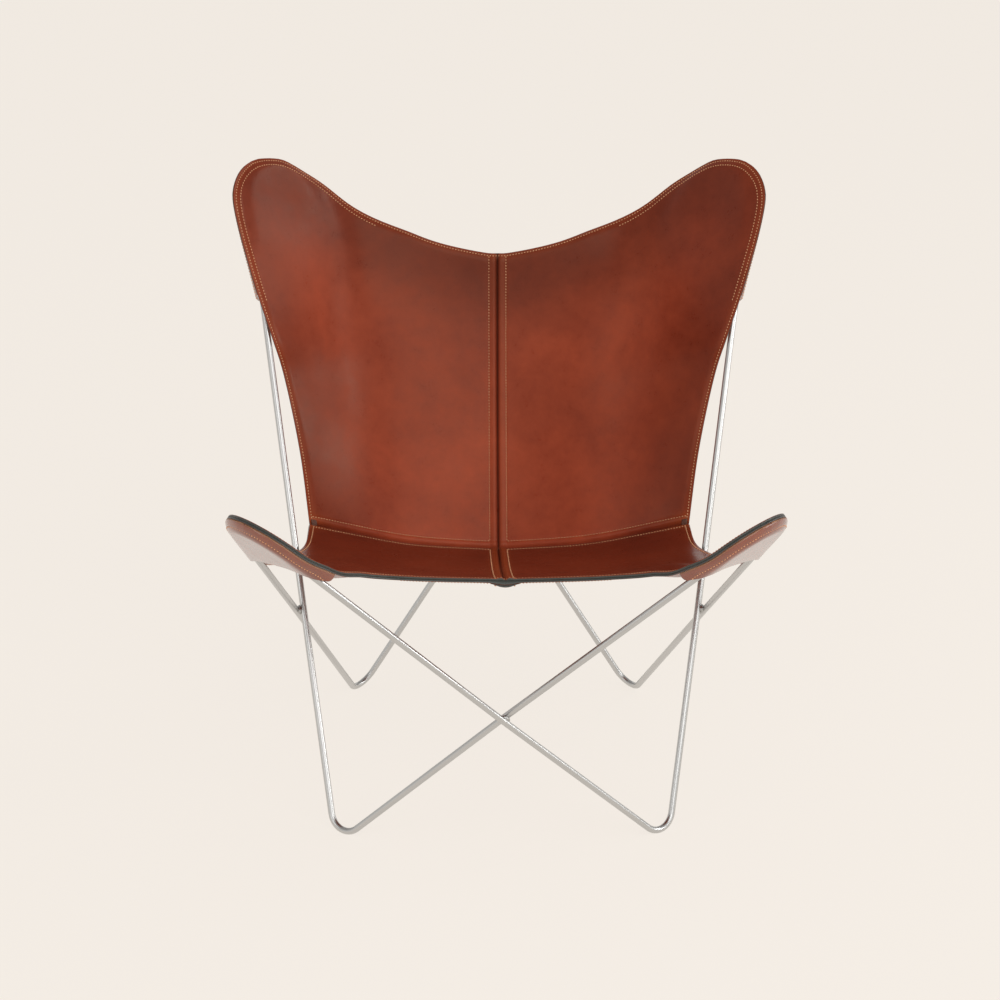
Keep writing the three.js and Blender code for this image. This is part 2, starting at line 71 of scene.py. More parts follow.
# Sling outline, right half, on the plane between face and lining
TOP_CENTRE = (0, 285, 734)
SEAM_CENTRE = (0, 90, 309)
SEAM_END = (291, 25, 378)
FRONT_CENTRE = (0, -335, 436)
ARMPIT = (298, -80, 379)
SEAT_SAG = 14.0  # of the seat's centre line below a straight line
BACK_SAG = 26.0  # of the back's centre line behind a straight line
TOP_EDGE = [(94, 285, 752), (157, 288, 777), (218, 288, 810), (272, 284, 848)]
SIDE_EDGE = [(305, 52, 489), (330, 79, 610)]
FRONT_EDGE = [(139, -362, 451), (212, -415, 481)]
LOBE_MARGIN = 39.0  # leather beyond the rod's centre line, outside a top bend
LOBE_TOP_MARGIN = 16.0  # and over it
LOBE_SWELL = (-0.25, 1.0)  # it widens between these shares of the turn, rear brace -1, upright 1
LOBE_TIP = 0.3  # share of the turn where top and side edge meet
UPRIGHT_MARGIN = 26.0  # leather beyond the upright, half way up to its bend
WING_MARGIN = 20.0  # leather beyond the rod's centre line round a wing
LOBE_DROP, WING_DROP = 3.0, 1.5  # fall of the sewn edge beyond the rods
EDGE_FALL = 20.0  # width of that fall, from the rod's outer side
FALL_REACH = (75.0, 140.0)  # the fall fades between these distances from the bend's centre
LOBE_DISH, DISH_R = 2.0, 42.0  # how far a lobe gives way between its rods
LOBE_REACH = 390.0  # how far the leather follows the upright, from the top corner
WING_REACH_FRONT, WING_REACH_REAR = 185.0, 330.0  # how far it follows each wing rod, from the wing corner
FRONT_RISE = 14.0  # of the front edge where it leaves the wing rod
LOBE_FLAT = (60.0, 230.0)  # the leather comes off the plane of the rods between these distances
WING_FLAT = (55.0, 130.0)
WING_EASE, WING_EASE_END = 70.0, -0.7  # added to the second one behind the front edge, in full from this w
EDGE_FADE = 2.5  # how quickly the shape of the side edge fades inward
SHARE_STEP, SHARE_LIMIT = 0.03, 0.94  # step and limit of the shares at which normals are read

# Pockets
WING_POCKET_FRONT, WING_POCKET_REAR = 215.0, 275.0
BACK_POCKET_INNER, BACK_POCKET_MOUTH = 190.0, 715.0
POCKET_PLAY, POCKET_SLOPE = 1.0, 0.3  # air round a rod, and how a pocket falls beside it
POCKET_TENT = 90.0  # how far from a rod a pocket stands off
ROD_STEP = 6.0  # spacing of the places on the rods that a pocket clears
COVER_EASE = 0.4  # most that a round of smoothing lowers a pocket
MOUTH_CUT = 0.16  # where along a mouth it is cut back most
POCKET_LENGTH, MOUTH_ROUND = 120, 0.8  # rough length from tip to mouth, and the round of the lip
POCKET_ROWS = np.concatenate([np.linspace(0.006, 0.985, 34), [0.993, 0.998, 1.0]])
POCKET_NEAR = np.array([0, 0.4, 1.2, 2.4, 3.6, 4.8, 6, 7.5, 9, 10.5, 12, 13.5, 16, 19])

# Cut sizes in metres, with areas in square metres
PANEL_CUT = {"back": ((0.49, 0.66), 0.2), "seat": ((0.42, 0.62), 0.167)}
TAPE_LENGTH = {"back": 0.46, "seat": 0.43, "cross": 0.68}

# Needlework
SEAM_STITCH = 13.5  # from a seam to the stitch line beside it
EDGE_STITCH = {"back": 4.0, "seat": 6.5}  # from an edge to its stitch line
POCKET_STITCH = 11.0  # from the edge of a lobe to its second stitch line
POCKET_HOLD = {"back": 175, "seat": 190}  # how far from the centre of a bend its pocket is sewn
LOBE_LINE = 175  # and the second line runs
CROSS_STITCH = 0.985  # share of the width that the stitches beside the cross seam reach
CORNER_SHARE = 0.97  # of its inset that a stitch line keeps from the other edge at a corner
SEAM_POINTS = 90
STITCH_PITCH, STITCH_LENGTH, STITCH_SLANT = 4.6, 2.5, 0.12
THREAD_R = 0.85
TACK = (8.5, 16.0)  # length and width of the tack that locks each end of the cross seam
TACK_INSET, TACK_AT = 2.5, 0.98  # its distance from the edge, and the share of the width where it is measured
TACK_RISE, TACK_RIDGE, TACK_THREADS, TACK_DEPTH = 1.3, 0.35, 12, 1.5

# Surface of the leather: bumps are (height, distance from the seam, width)
SEAM_RELIEF = [(-2.9, 0, 2.4), (1.0, 6.5, 4.2), (-0.5, SEAM_STITCH, 1.7)]
CROSS_RELIEF = [(-1.7, 0, 3.4), (0.5, 7.5, 4.5), (-0.5, SEAM_STITCH, 1.8)]
LINING_BUMP = [(3.2, 0, 15)]
TAPE_CROWN, TAPE_GROOVE = [(0.8, 0, 11)], [(0.2, SEAM_STITCH, 1.6)]
TAPE_THINNING, TAPE_THINS_FROM, TAPE_ROUND = 1.4, 7, 0.45
GROOVE = {"face": 0.4, "lining": 0.2, "pocket": 0.35}  # depth that a stitch line presses in
GROOVE_W = 1.5
EDGE_ROUND = {"face": 0.9, "lining": 0.5, "pocket": 0.6}
SKIVE, SKIVE_W = 0.72, 13.0  # share pared off at the edges of the back, and over what width
DRIFT, DRIFT_FADE = 0.6, 30.0  # share of the hide's unevenness, and its fade toward the edges
# painted shade: how dark the face is painted in the valleys of the middle and cross seams, where shade falls
SEAM_PAINTED_SHADE, CROSS_PAINTED_SHADE = [(1.0, 0, 2.2)], [(0.45, 0, 3.0)]
SEAM_SHEEN_AND_STRAIN = {"back": [(0.25, 7, 8)], "seat": [(1.0, 7, 8)]}  # where leather drawn tight is lighter; beside the middle seam, most on the seat, it is also a painted highlight on the seam's raised shoulder
EDGE_STRAIN, CROSS_STRAIN, CROSS_STRAIN_W = [(0.4, 0, 9)], [(0.9, 8, 12)], 34
PAINTED_LIGHT_TOP, PAINTED_LIGHT_SIDE, PAINTED_LIGHT_CROSS = (25, 170), (15, 150), (60, 260)  # painted light and shade: the back is painted lighter away from its top and side edges, and a little darker far from the cross seam

# Points of panels and tapes: distances from a seam or an edge, and counts in between or along
NEAR_SEAM = np.array([0, 0.8, 1.6, 2.6, 3.8, 5.2, 6.8, 8.6, 10.4, 12.0, 13.5, 15.0, 17.0, 20.0, 25.0])
NEAR_EDGE = np.array([18.0, 14.0, 12.0, 10.0, 7.6, 6.0, 4.8, 3.6, 2.4, 1.4, 0.8, 0.35, 0.1, 0])
PANEL_POINTS = {"back": (42, 46), "seat": (42, 44)}
TAPE_POINTS = 60
TAPE_STEPS = np.array([0, 2.5, 5, 7.5, 10, 12, 13.5, 15, 17, 18.5, 19.4, 19.8, 20.0])


def unit(v):
    return v / np.linalg.norm(v, axis=-1, keepdims=True)


def size_of(v):
    return np.linalg.norm(v, axis=-1)


def smoothstep(x, low, high):
    t = np.clip((x - low) / (high - low), 0, 1)
    return t * t * (3 - 2 * t)


def bell(x, middle, width):
    return np.exp(-(((x - middle) / width) ** 2))


def mirrored(p):
    return np.asarray(p) * np.array([-1.0, 1.0, 1.0])


# Frame layout


def bend(corner, before, after, radius, steps):
    """Arc that rounds a corner of the rod's centre line."""
    a, b = unit(before - corner), unit(after - corner)
    half = math.acos(np.clip(a @ b, -1, 1)) / 2
    bisector = unit(a + b)
    centre = corner + bisector * radius / math.sin(half)
    tangent = radius / math.tan(half)
    start, end = corner + a * tangent - centre, corner + b * tangent - centre
    turn = math.pi - 2 * half
    t = np.linspace(0, 1, steps + 1)[:, None]
    points = centre + (start * np.sin((1 - t) * turn) + end * np.sin(t * turn)) / math.sin(turn)
    return {"centre": centre, "points": points, "a": a, "b": b, "bisector": bisector, "tangent": tangent}


def passing(rod_a, rod_b, nearer):
    """Where two crossing rods pass, the first on the nearer side."""
    (a1, a2), (b1, b2) = rod_a, rod_b
    da, db = a2 - a1, b2 - b1
    cross = np.cross(da, db)
    normal = unit(cross)
    if normal @ nearer < 0:
        normal = -normal
    ta = np.cross(b1 - a1, db) @ cross / (cross @ cross)
    tb = np.cross(b1 - a1, da) @ cross / (cross @ cross)
    middle = (a1 + da * ta + b1 + db * tb) / 2
    apart = normal * (ROD_D + WELD_GAP) / 2
    return {
        "middle": middle, "normal": normal, "along": (unit(da), unit(db)),
        "first": middle + apart, "second": middle - apart,
    }


def frame_at(first, second):
    """Bends and crossings for given (front, rear) heights of each loop's foot corners."""
    foot = {1: np.array([*FRONT_FOOT, first[0]]), -1: mirrored([*FRONT_FOOT, second[0]])}
    heel = {1: np.array([*REAR_FOOT, second[1]]), -1: mirrored([*REAR_FOOT, first[1]])}
    wing, top = ({1: corner, -1: mirrored(corner)} for corner in (WING_CORNER, TOP_CORNER))
    ahead, right = np.array([0, -1.0, 0]), np.array([1.0, 0, 0])
    crossings = {
        "front": passing((foot[1], wing[-1]), (foot[-1], wing[1]), ahead),
        "rear": passing((heel[1], top[-1]), (heel[-1], top[1]), ahead),
        "right": passing((top[1], foot[1]), (wing[1], heel[1]), -right),
        "left": passing((top[-1], foot[-1]), (wing[-1], heel[-1]), right),
    }
    loops = []
    for side, near, far, front, rear in (
        (1, "right", "left", "first", "second"), (-1, "left", "right", "second", "first"),
    ):
        corners = [
            (foot[side], FOOT_BEND), (crossings["front"][front], CROSSING_BEND),
            (wing[-side], UPPER_BEND), (crossings[far]["second"], CROSSING_BEND),
            (heel[-side], FOOT_BEND), (crossings["rear"][rear], CROSSING_BEND),
            (top[side], UPPER_BEND), (crossings[near]["first"], CROSSING_BEND),
        ]
        trios = zip(corners[-1:] + corners[:-1], corners, corners[1:] + corners[:1])
        loops.append([bend(corner, before, after, *size) for (before, _), (corner, size), (after, _) in trios])
    return {
        "loops": loops, "crossings": crossings,
        "top_bend": bend(top[1], foot[1], heel[-1], UPPER_BEND_R, 1),
        "wing_bend": bend(wing[1], foot[-1], heel[1], UPPER_BEND_R, 1),
    }


def settled_frame():
    """Sets the foot corners so that each foot's flat lies on the floor."""
    rest = ROD_D / 2 - FOOT_FLAT
    heights = np.zeros((2, 2))
    for _ in range(8):
        for k, loop in enumerate(frame_at(*heights)["loops"]):
            heights[k, 0] += rest - loop[0]["points"][:, 2].min()
            heights[k, 1] += rest - loop[4]["points"][:, 2].min()
    return frame_at(*heights)


chair = settled_frame()
rod_lines = [np.concatenate([arc["points"] for arc in loop]) for loop in chair["loops"]]


# Sling layout


class Rest:
    """Where the sling lies on the two rods of an upper bend, and falls to its sewn edge beyond them."""

    def __init__(self, corner, arc, sitter, drop, dish):
        self.corner, self.arc, self.drop, self.dish = corner, arc, drop, dish
        normal = unit(np.cross(arc["a"], arc["b"]))
        self.normal = normal if normal @ sitter > 0 else -normal

    def away(self, along):
        return unit(along * (along @ self.arc["bisector"]) - self.arc["bisector"])

    def lift(self, outside):
        """Height over the rods' centre lines at a distance outside them."""
        return ROD_DEPTH - self.drop * smoothstep(outside - ROD_D / 2, 0, EDGE_FALL)

    def turn(self, along, share, margin):
        """Outline point round the bend: share 0 is its tip, 1 the start of the straight rod."""
        way = -self.arc["bisector"] * (1 - share) + self.away(along) * share
        return self.arc["centre"] + unit(way) * (UPPER_BEND_R + margin) + self.normal * self.lift(margin)

    def beside(self, along, distance, margin):
        return self.corner + along * distance + self.away(along) * margin + self.normal * ROD_DEPTH

    def outside(self, points):
        """Distance of points outside the rods' centre lines, seen along the normal."""
        off = points - self.arc["centre"]
        off = off - self.normal * (off @ self.normal)[..., None]
        a, b = self.arc["a"], self.arc["b"]
        straight = np.maximum((points - self.corner) @ self.away(a), (points - self.corner) @ self.away(b))
        return np.where((off @ a < 0) & (off @ b < 0), size_of(off) - UPPER_BEND_R, straight)

    def hollow(self, points):
        """How far the leather gives way between the two rods."""
        return self.dish * bell(size_of(points - self.arc["centre"]), 0, DISH_R)

    def hold(self, points, flat):
        """Brings points near the bend to the leather's height over the rods."""
        reach = size_of(points - self.arc["centre"])
        near = 1 - smoothstep(reach, *flat)
        fallen = (ROD_DEPTH - self.lift(self.outside(points))) * (1 - smoothstep(reach, *FALL_REACH))
        short = ROD_DEPTH - fallen - (points - self.corner) @ self.normal
        return points + self.normal * (short * near - self.hollow(points))[..., None]


class Line:
    """A dense line that is read, or values along it, by its share of length."""

    def __init__(self, points):
        self.points = points
        self.run = np.insert(np.cumsum(size_of(np.diff(points, axis=0))), 0, 0)
        self.share = self.run / self.run[-1]

    def at(self, share, values=None):
        values = self.points if values is None else values
        return np.stack([np.interp(share, self.share, values[:, k]) for k in range(3)], axis=-1)


def smooth_line(*points, steps=80):
    """Centripetal spline through the points."""
    p = np.array(points, dtype=float)
    p = np.concatenate([[2 * p[0] - p[1]], p, [2 * p[-1] - p[-2]]])
    knots = np.sqrt(size_of(np.diff(p, axis=0)))[:, None]
    t = np.linspace(0, 1, steps + 1)[:, None]
    runs = []
    for i in range(1, len(p) - 2):
        p0, p1, p2, p3 = p[i - 1:i + 3]
        d0, d1, d2 = knots[i - 1:i + 2]
        m1 = ((p1 - p0) / d0 - (p2 - p0) / (d0 + d1) + (p2 - p1) / d1) * d1
        m2 = ((p2 - p1) / d1 - (p3 - p1) / (d1 + d2) + (p3 - p2) / d2) * d1
        run = p1 + m1 * t + (-3 * p1 + 3 * p2 - 2 * m1 - m2) * t**2 + (2 * p1 - 2 * p2 + m1 + m2) * t**3
        runs.append(run[:-1] if i < len(p) - 3 else run)
    return Line(np.concatenate(runs))


def level(centre, beside):
    """Point just beside the middle that lets an edge cross it level."""
    near = 0.15
    c, b = np.array(centre, float), np.array(beside, float)
    return np.array([b[0] * near, *(c[1:] + (b[1:] - c[1:]) * near**2)])


def sagging_line(start, end, sag, direction):
    a, b = np.array(start, float), np.array(end, float)
    t = np.linspace(0, 1, 400)[:, None]
    middle = (a + b) / 2 + np.array(direction) * 2 * sag
    return Line(a * (1 - t) ** 2 + middle * 2 * t * (1 - t) + b * t**2)


lobe = Rest(TOP_CORNER, chair["top_bend"], np.array([0, -1.0, 0]), LOBE_DROP, LOBE_DISH)
wing = Rest(WING_CORNER, chair["wing_bend"], UP, WING_DROP, 0.0)
upright, rear_brace = lobe.arc["a"], lobe.arc["b"]
front_brace, rear_leg = wing.arc["a"], wing.arc["b"]

seam_middle = np.array(SEAM_CENTRE) * 0.75 + np.array(SEAM_END) * 0.25
seam_middle[0] = SEAM_END[0] / 2
cross_seam = smooth_line(SEAM_CENTRE, level(SEAM_CENTRE, seam_middle), seam_middle, SEAM_END)


def round_lobe(*shares):
    """Outline round a top bend at shares of its turn, -1 at the rear brace and 1 at the upright."""
    swell = [smoothstep(share, *LOBE_SWELL) for share in shares]
    margins = [LOBE_TOP_MARGIN + (LOBE_MARGIN - LOBE_TOP_MARGIN) * x for x in swell]
    return [lobe.turn(upright if x > 0 else rear_brace, abs(x), m) for x, m in zip(shares, margins)]


def round_wing(along):
    return [wing.turn(along, share, WING_MARGIN) for share in (1, 0.75, 0.5, 0.25, 0)]


top_edge = smooth_line(
    TOP_CENTRE, level(TOP_CENTRE, TOP_EDGE[0]), *TOP_EDGE,
    *round_lobe(-0.6, -0.4, -0.2, 0, 0.15, LOBE_TIP),
)
side_edge = smooth_line(
    SEAM_END, *SIDE_EDGE,
    lobe.beside(upright, LOBE_REACH, 0),
    lobe.beside(upright, (LOBE_REACH + lobe.arc["tangent"]) / 2, UPRIGHT_MARGIN),
    *round_lobe(1, 0.8, 0.6, 0.45, LOBE_TIP),
)
front_edge = smooth_line(
    FRONT_CENTRE, level(FRONT_CENTRE, FRONT_EDGE[0]), *FRONT_EDGE,
    wing.beside(front_brace, WING_REACH_FRONT, WING_MARGIN) + wing.normal * FRONT_RISE,
    *round_wing(front_brace),
)
rear_edge = smooth_line(
    SEAM_END, ARMPIT,
    wing.beside(rear_leg, WING_REACH_REAR, WING_MARGIN),
    wing.beside(rear_leg, (wing.arc["tangent"] + WING_REACH_REAR) / 2, WING_MARGIN),
    *round_wing(rear_leg),
)
wing_pocket_front = wing.beside(front_brace, WING_POCKET_FRONT, WING_MARGIN)
wing_pocket_rear = wing.beside(rear_leg, WING_POCKET_REAR, WING_MARGIN)
back_centre = sagging_line(SEAM_CENTRE, TOP_CENTRE, BACK_SAG, (0, 1, 0))
seat_centre = sagging_line(SEAM_CENTRE, FRONT_CENTRE, SEAT_SAG, (0, 0, -1))


def stretched(low, high, inner, outer, u, v):
    """Surface between four edges; the outer edge's shape fades inward."""
    v3 = v[..., None]
    p = low.at(u) * (1 - v3) + high.at(u) * v3
    inner_chord = low.at(0) * (1 - v3) + high.at(0) * v3
    outer_chord = low.at(1) * (1 - v3) + high.at(1) * v3
    p = p + (inner.at(v) - inner_chord) * (1 - u**2)[..., None]
    return p + (outer.at(v) - outer_chord) * (u**EDGE_FADE)[..., None]


def sling_point(u, w):
    """The plane between face and lining: u from the middle to the right edge, w from the front (-1) to the top."""
    u, w = np.broadcast_arrays(np.asarray(u, float), np.asarray(w, float))
    back = stretched(cross_seam, top_edge, back_centre, side_edge, u, np.maximum(w, 0))
    seat = stretched(cross_seam, front_edge, seat_centre, rear_edge, u, np.maximum(-w, 0))
    p = np.where((w >= 0)[..., None], back, seat)
    wing_reach = WING_FLAT[1] + WING_EASE * smoothstep(w, -1, WING_EASE_END)
    return np.where((w >= 0)[..., None], lobe.hold(p, LOBE_FLAT), wing.hold(p, (WING_FLAT[0], wing_reach)))


def sling_normal(u, w):
    """Unit normal on the sitter's side."""
    u, w = (np.clip(x, -SHARE_LIMIT, SHARE_LIMIT) for x in (u, w))

    def across(x):
        p = sling_point(np.abs(x), w)
        return np.where((x < 0)[..., None], mirrored(p), p)

    du = across(u + SHARE_STEP) - across(u - SHARE_STEP)
    dw = sling_point(np.abs(u), w + SHARE_STEP) - sling_point(np.abs(u), w - SHARE_STEP)
    return unit(np.cross(du, dw))


def over(u, w, height):
    return sling_point(u, w) + sling_normal(u, w) * np.asarray(height)[..., None]


# Lengths along the sling, so that seams and stitches keep their distances in millimetres

SHARES = np.linspace(0, 1, 161)
EDGE_READ = np.linspace(0, 1, 160)


def between(table, share):
    """Row of a table at a share of its length."""
    at = np.clip(share, 0, 1) * (len(table) - 1)
    k = min(int(at), len(table) - 2)
    return table[k] * (1 - at + k) + table[k + 1] * (at - k)


class Area:
    """The right half of the back (way 1) or the seat (way -1), measured along its rows and columns."""

    def __init__(self, name, way, rest):
        self.name, self.way, self.rest = name, way, rest
        self.stitch, self.outer_rim = EDGE_STITCH[name], 2 if way > 0 else 1
        self.outline = [sling_point(EDGE_READ, way), sling_point(1.0, way * EDGE_READ)]
        points = sling_point(SHARES[None, :], (SHARES * way - 1e-9 * (way < 0))[:, None])
        steps = [size_of(np.diff(points, axis=k)) for k in (0, 1)]
        self.along, self.across = (np.insert(np.cumsum(x, axis=k), 0, 0, axis=k) for k, x in enumerate(steps))

    def from_seams(self, u, w):
        """Distances to the middle seam and to the cross seam."""
        last = len(SHARES) - 1
        x, y = np.clip(u, 0, 1) * last, np.clip(np.abs(w), 0, 1) * last
        i, j = (np.minimum(t.astype(int), last - 1) for t in (x, y))
        fx, fy = x - i, y - j
        found = []
        for table in (self.across, self.along):
            low, high = (table[k, i] * (1 - fx) + table[k, i + 1] * fx for k in (j, j + 1))
            found.append(low * (1 - fy) + high * fy)
        return found

    def from_edges(self, points):
        """Distances to the outer edge and to the side edge."""
        found = []
        for edge in self.outline:
            off, run = points[..., None, :] - edge[:-1], edge[1:] - edge[:-1]
            share = np.clip((off * run).sum(-1) / (run**2).sum(-1), 0, 1)
            found.append(size_of(off - run * share[..., None]).min(-1))
        return found

    def row(self, w):
        """Distances from the middle seam along row w."""
        return between(self.across, np.abs(w))

    def column(self, u):
        """Distances from the cross seam along column u."""
        return between(self.along.T, u)

    def u_at(self, distance, w):
        return np.interp(distance, self.row(w), SHARES)

    def w_at(self, distance, u):
        return np.interp(distance, self.column(u), SHARES) * self.way


back, seat = Area("back", 1, lobe), Area("seat", -1, wing)


# Meshes


def place(points):
    """Layout millimetres to metres in the part's frame."""
    return (points + np.array([0, DEPTH_SHIFT, 0])) * MM


def add_object(name, data):
    item = bpy.data.objects.new(name, data)
    bpy.context.scene.collection.objects.link(item)
    return item


def mesh_object(name, points, faces, skins, face_skins=None):
    mesh = bpy.data.meshes.new(name)
    mesh.from_pydata(place(points).tolist(), [], faces)
    for skin in skins:
        mesh.materials.append(skin)
    if face_skins is not None:
        mesh.polygons.foreach_set("material_index", face_skins.astype(np.int32))
    mesh.polygons.foreach_set("use_smooth", np.full(len(mesh.polygons), True))
    mesh.update()
    piece = add_object(name, mesh)
    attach(piece, "root")
    return piece


def dress(piece, node, slot, **sheet):
    """Hides the node of the part that a piece stands for; the piece, its material slot and how its sheet is cut and
    held are not used.
    """
    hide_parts(node)


def strips(low, high, turned=False):
    """Quads between rows of vertices."""
    quads = np.stack([low[..., :-1], low[..., 1:], high[..., 1:], high[..., :-1]], axis=-1).reshape(-1, 4)
    return quads[:, [0, 3, 2, 1]] if turned else quads


def sheet_faces(rows, columns):
    """Quads of a closed sheet of two grids, and whether each is skin (0) or on one of four rims (1 to 4)."""
    low, high = np.arange(2 * rows * columns).reshape(2, rows, columns)
    skins = np.concatenate([strips(high[:-1], high[1:]), strips(low[:-1], low[1:], True)])
    rims = [
        strips(low[0], high[0]), strips(low[-1], high[-1], True),
        strips(low[:, 0], high[:, 0], True), strips(low[:, -1], high[:, -1]),
    ]
    return np.concatenate([skins, *rims]), np.repeat(np.arange(5), [len(x) for x in (skins, *rims)])


def closed_sheet(name, low, high, skin, rim, painted=(), marks=None):
    """Closed sheet between two grids, with some rims in a material of their own and marks on the upper grid."""
    faces, kinds = sheet_faces(*low.shape[:2])
    points = np.concatenate([low.reshape(-1, 3), high.reshape(-1, 3)])
    piece = mesh_object(name, points, faces.tolist(), [skin, rim], np.isin(kinds, list(painted)))
    for key, above in (marks or {}).items():
        layer = piece.data.attributes.new(key, "FLOAT", "POINT")
        values = np.concatenate([np.zeros(above.size), above.ravel()])
        layer.data.foreach_set("value", values.astype(np.float32))
    return piece


surfaces = {}


def record_surface(name, grid, outward, edges):
    """Keeps a finished surface of the right half, with its distances to both edges, for the stitches on it."""
    normals = unit(np.cross(np.gradient(grid, axis=1), np.gradient(grid, axis=0)) + 1e-12)
    way = np.sign((normals * outward).sum(-1, keepdims=True))
    surfaces[name] = grid, normals * way, edges


def both_sides(*grids):
    """Grids of points of the right half, and the same in the left half."""
    return ("right", grids), ("left", tuple(mirrored(grid)[:, ::-1] for grid in grids))


def spaced(length, inner):
    """Distances from a seam to an edge, close together at both ends."""
    middle = np.linspace(NEAR_SEAM[-1], length - NEAR_EDGE[0], inner + 2)[1:-1]
    return np.concatenate([NEAR_SEAM, middle, length - NEAR_EDGE])


def panel_places(area, inner_u, inner_w):
    """Grid of (u, w) over the right panel of an area, rows from the cross seam outward."""
    guess = spaced(area.row(0.5)[-1], inner_u)
    columns = [area.w_at(spaced(area.column(u)[-1], inner_w), u) for u in guess / guess[-1]]
    w = np.stack(columns, axis=1)
    u = np.empty_like(w)
    for at in np.ndindex(*w.shape):
        u[at] = area.u_at(spaced(area.row(w[at])[-1], inner_u)[at[1]], w[at])
    return u, w


def drifting(points):
    """Slow unevenness of hide, in millimetres."""
    x, y, z = points[..., 0] / 100, points[..., 1] / 100, points[..., 2] / 100
    slow = np.sin(2.1 * x + 1.3 * z + 0.4) * np.cos(1.7 * y - 1.9 * z + 1.1)
    quick = np.sin(5.3 * x - 4.1 * z + 2.0) * np.sin(4.7 * y + 3.9 * z + 0.7)
    return 0.8 * slow + 0.3 * quick


def rounded(distance, radius):
    """Fall of a surface toward a rounded edge."""
    inside = np.clip(radius - distance, 0, radius)
    return radius - np.sqrt(radius**2 - inside**2)


def relief(distance, bumps):
    return sum(height * bell(distance, at, width) for height, at, width in bumps)


def skived(area, edge):
    """Share of the full thickness: the leather is pared toward the edges of the back."""
    return 1 - SKIVE * (1 - smoothstep(edge, 0, SKIVE_W)) if area.way > 0 else 1 + 0 * edge


def layer(area, kind, thick, edge):
    """Thickness toward the edge: pared, pressed in by the stitches and rounded."""
    groove = GROOVE[kind] * bell(edge, area.stitch, GROOVE_W)
    return thick * skived(area, edge) - groove - rounded(edge, EDGE_ROUND[kind])


def face_height(area, u, w):
    """Height of the face over the sling's plane, with its seams, grooves and edges."""
    points = sling_point(u, w)
    edge = np.minimum(*area.from_edges(points))
    free = smoothstep(edge, 0, DRIFT_FADE)
    height = HALF_GAP + FACE_T * skived(area, edge) + drifting(points) * free * DRIFT
    middle, cross = area.from_seams(u, w)
    height = height + relief(middle, SEAM_RELIEF) + relief(cross, CROSS_RELIEF)
    height = height - GROOVE["face"] * bell(edge, area.stitch, GROOVE_W) - rounded(edge, EDGE_ROUND["face"])
    return np.maximum(height, HALF_GAP + LEAST_T)


def lining_height(area, u, w):
    """Depth of the lining's outer side under the sling's plane, with the bump of the seat's seam."""
    edge = np.minimum(*area.from_edges(sling_point(u, w)))
    swell = (area.way < 0) * relief(area.from_seams(u, w)[0], LINING_BUMP)
    return -(HALF_GAP + layer(area, "lining", LINING_T, edge) + swell)


# Finishes


class Graph:
    """Adds nodes to a tree: an input that is a socket is linked, any other is set."""

    def __init__(self, tree):
        self.tree = tree

    def add(self, kind, inputs=None, **settings):
        node = self.tree.nodes.new(kind)
        for key, value in settings.items():
            setattr(node, key, value)
        for key, value in (inputs or {}).items():
            socket = node.inputs[key]
            if isinstance(value, bpy.types.NodeSocket):
                self.tree.links.new(value, socket)
            else:
                socket.default_value = value
        return node

    def mix(self, factor, a, b, blend="MIX"):
        settings = {"data_type": "RGBA", "blend_type": blend}
        return self.add("ShaderNodeMix", {0: factor, 6: a, 7: b}, **settings).outputs[2]

    def math(self, operation, a, b=0.0):
        return self.add("ShaderNodeMath", {0: a, 1: b}, operation=operation).outputs[0]

    def blend(self, a, share_a, b, share_b):
        return self.math("ADD", self.math("MULTIPLY", a, share_a), self.math("MULTIPLY", b, share_b))

    def spread(self, value, *ends):
        ends = zip(("From Min", "From Max", "To Min", "To Max"), ends)
        return self.add("ShaderNodeMapRange", {"Value": value, **dict(ends)}).outputs[0]

    def noise(self, vector, *values):
        values = zip(("Scale", "Detail", "Roughness", "Distortion"), values)
        return self.add("ShaderNodeTexNoise", {"Vector": vector, **dict(values)}).outputs["Fac"]

    def here(self):
        return self.add("ShaderNodeTexCoord").outputs["Object"]

    def group(self, tree, **inputs):
        return self.add("ShaderNodeGroup", inputs, node_tree=tree).outputs


COLOUR, VALUE, PLACE = "NodeSocketColor", "NodeSocketFloat", "NodeSocketVector"
TONE, SHADE = ("Tone", COLOUR, (1, 1, 1, 1)), ("Shade", COLOUR, (0, 0, 0, 1))


def finish_group(name, *inputs, rough=True):
    """Empty node group, with its graph and the sockets of its inputs."""
    tree = bpy.data.node_groups.new(name, "ShaderNodeTree")
    for key, kind, value in (*inputs, ("Place", PLACE, (0, 0, 0))):
        tree.interface.new_socket(key, in_out="INPUT", socket_type=kind).default_value = value
    tree.interface.new_socket("Color", in_out="OUTPUT", socket_type=COLOUR)
    for key in ("Roughness", "Height") if rough else ("Height",):
        tree.interface.new_socket(key, in_out="OUTPUT", socket_type=VALUE)
    graph = Graph(tree)
    return graph, graph.add("NodeGroupInput").outputs


def make_hide():
    """Tanned hide: clouded dye, pores and fine creases."""
    g, given = finish_group("tanned_hide", TONE, SHADE)
    at = given["Place"]
    cloud, mottle = g.noise(at, 6.5, 5, 0.6, 0.4), g.noise(at, 41, 6, 0.68)
    crease = g.noise(at, 310, 5, 0.6, 0.8)
    pore = g.add("ShaderNodeTexVoronoi", {"Vector": at, "Scale": 820.0}, feature="SMOOTH_F1")
    dyed = g.blend(cloud, 0.62, mottle, 0.38)
    colour = g.mix(g.spread(dyed, 0.34, 0.66), given["Shade"], given["Tone"])
    colour = g.mix(g.spread(crease, 0.36, 0.2, 0, 0.35), colour, given["Shade"])
    rough = g.math("ADD", g.spread(mottle, 0.3, 0.7, 0.26, 0.37), g.spread(crease, 0.3, 0.7, -0.03, 0.05))
    height = g.blend(pore.outputs["Distance"], 0.5, crease, 0.6)
    g.add("NodeGroupOutput", {"Color": colour, "Roughness": rough, "Height": height})
    return g.tree


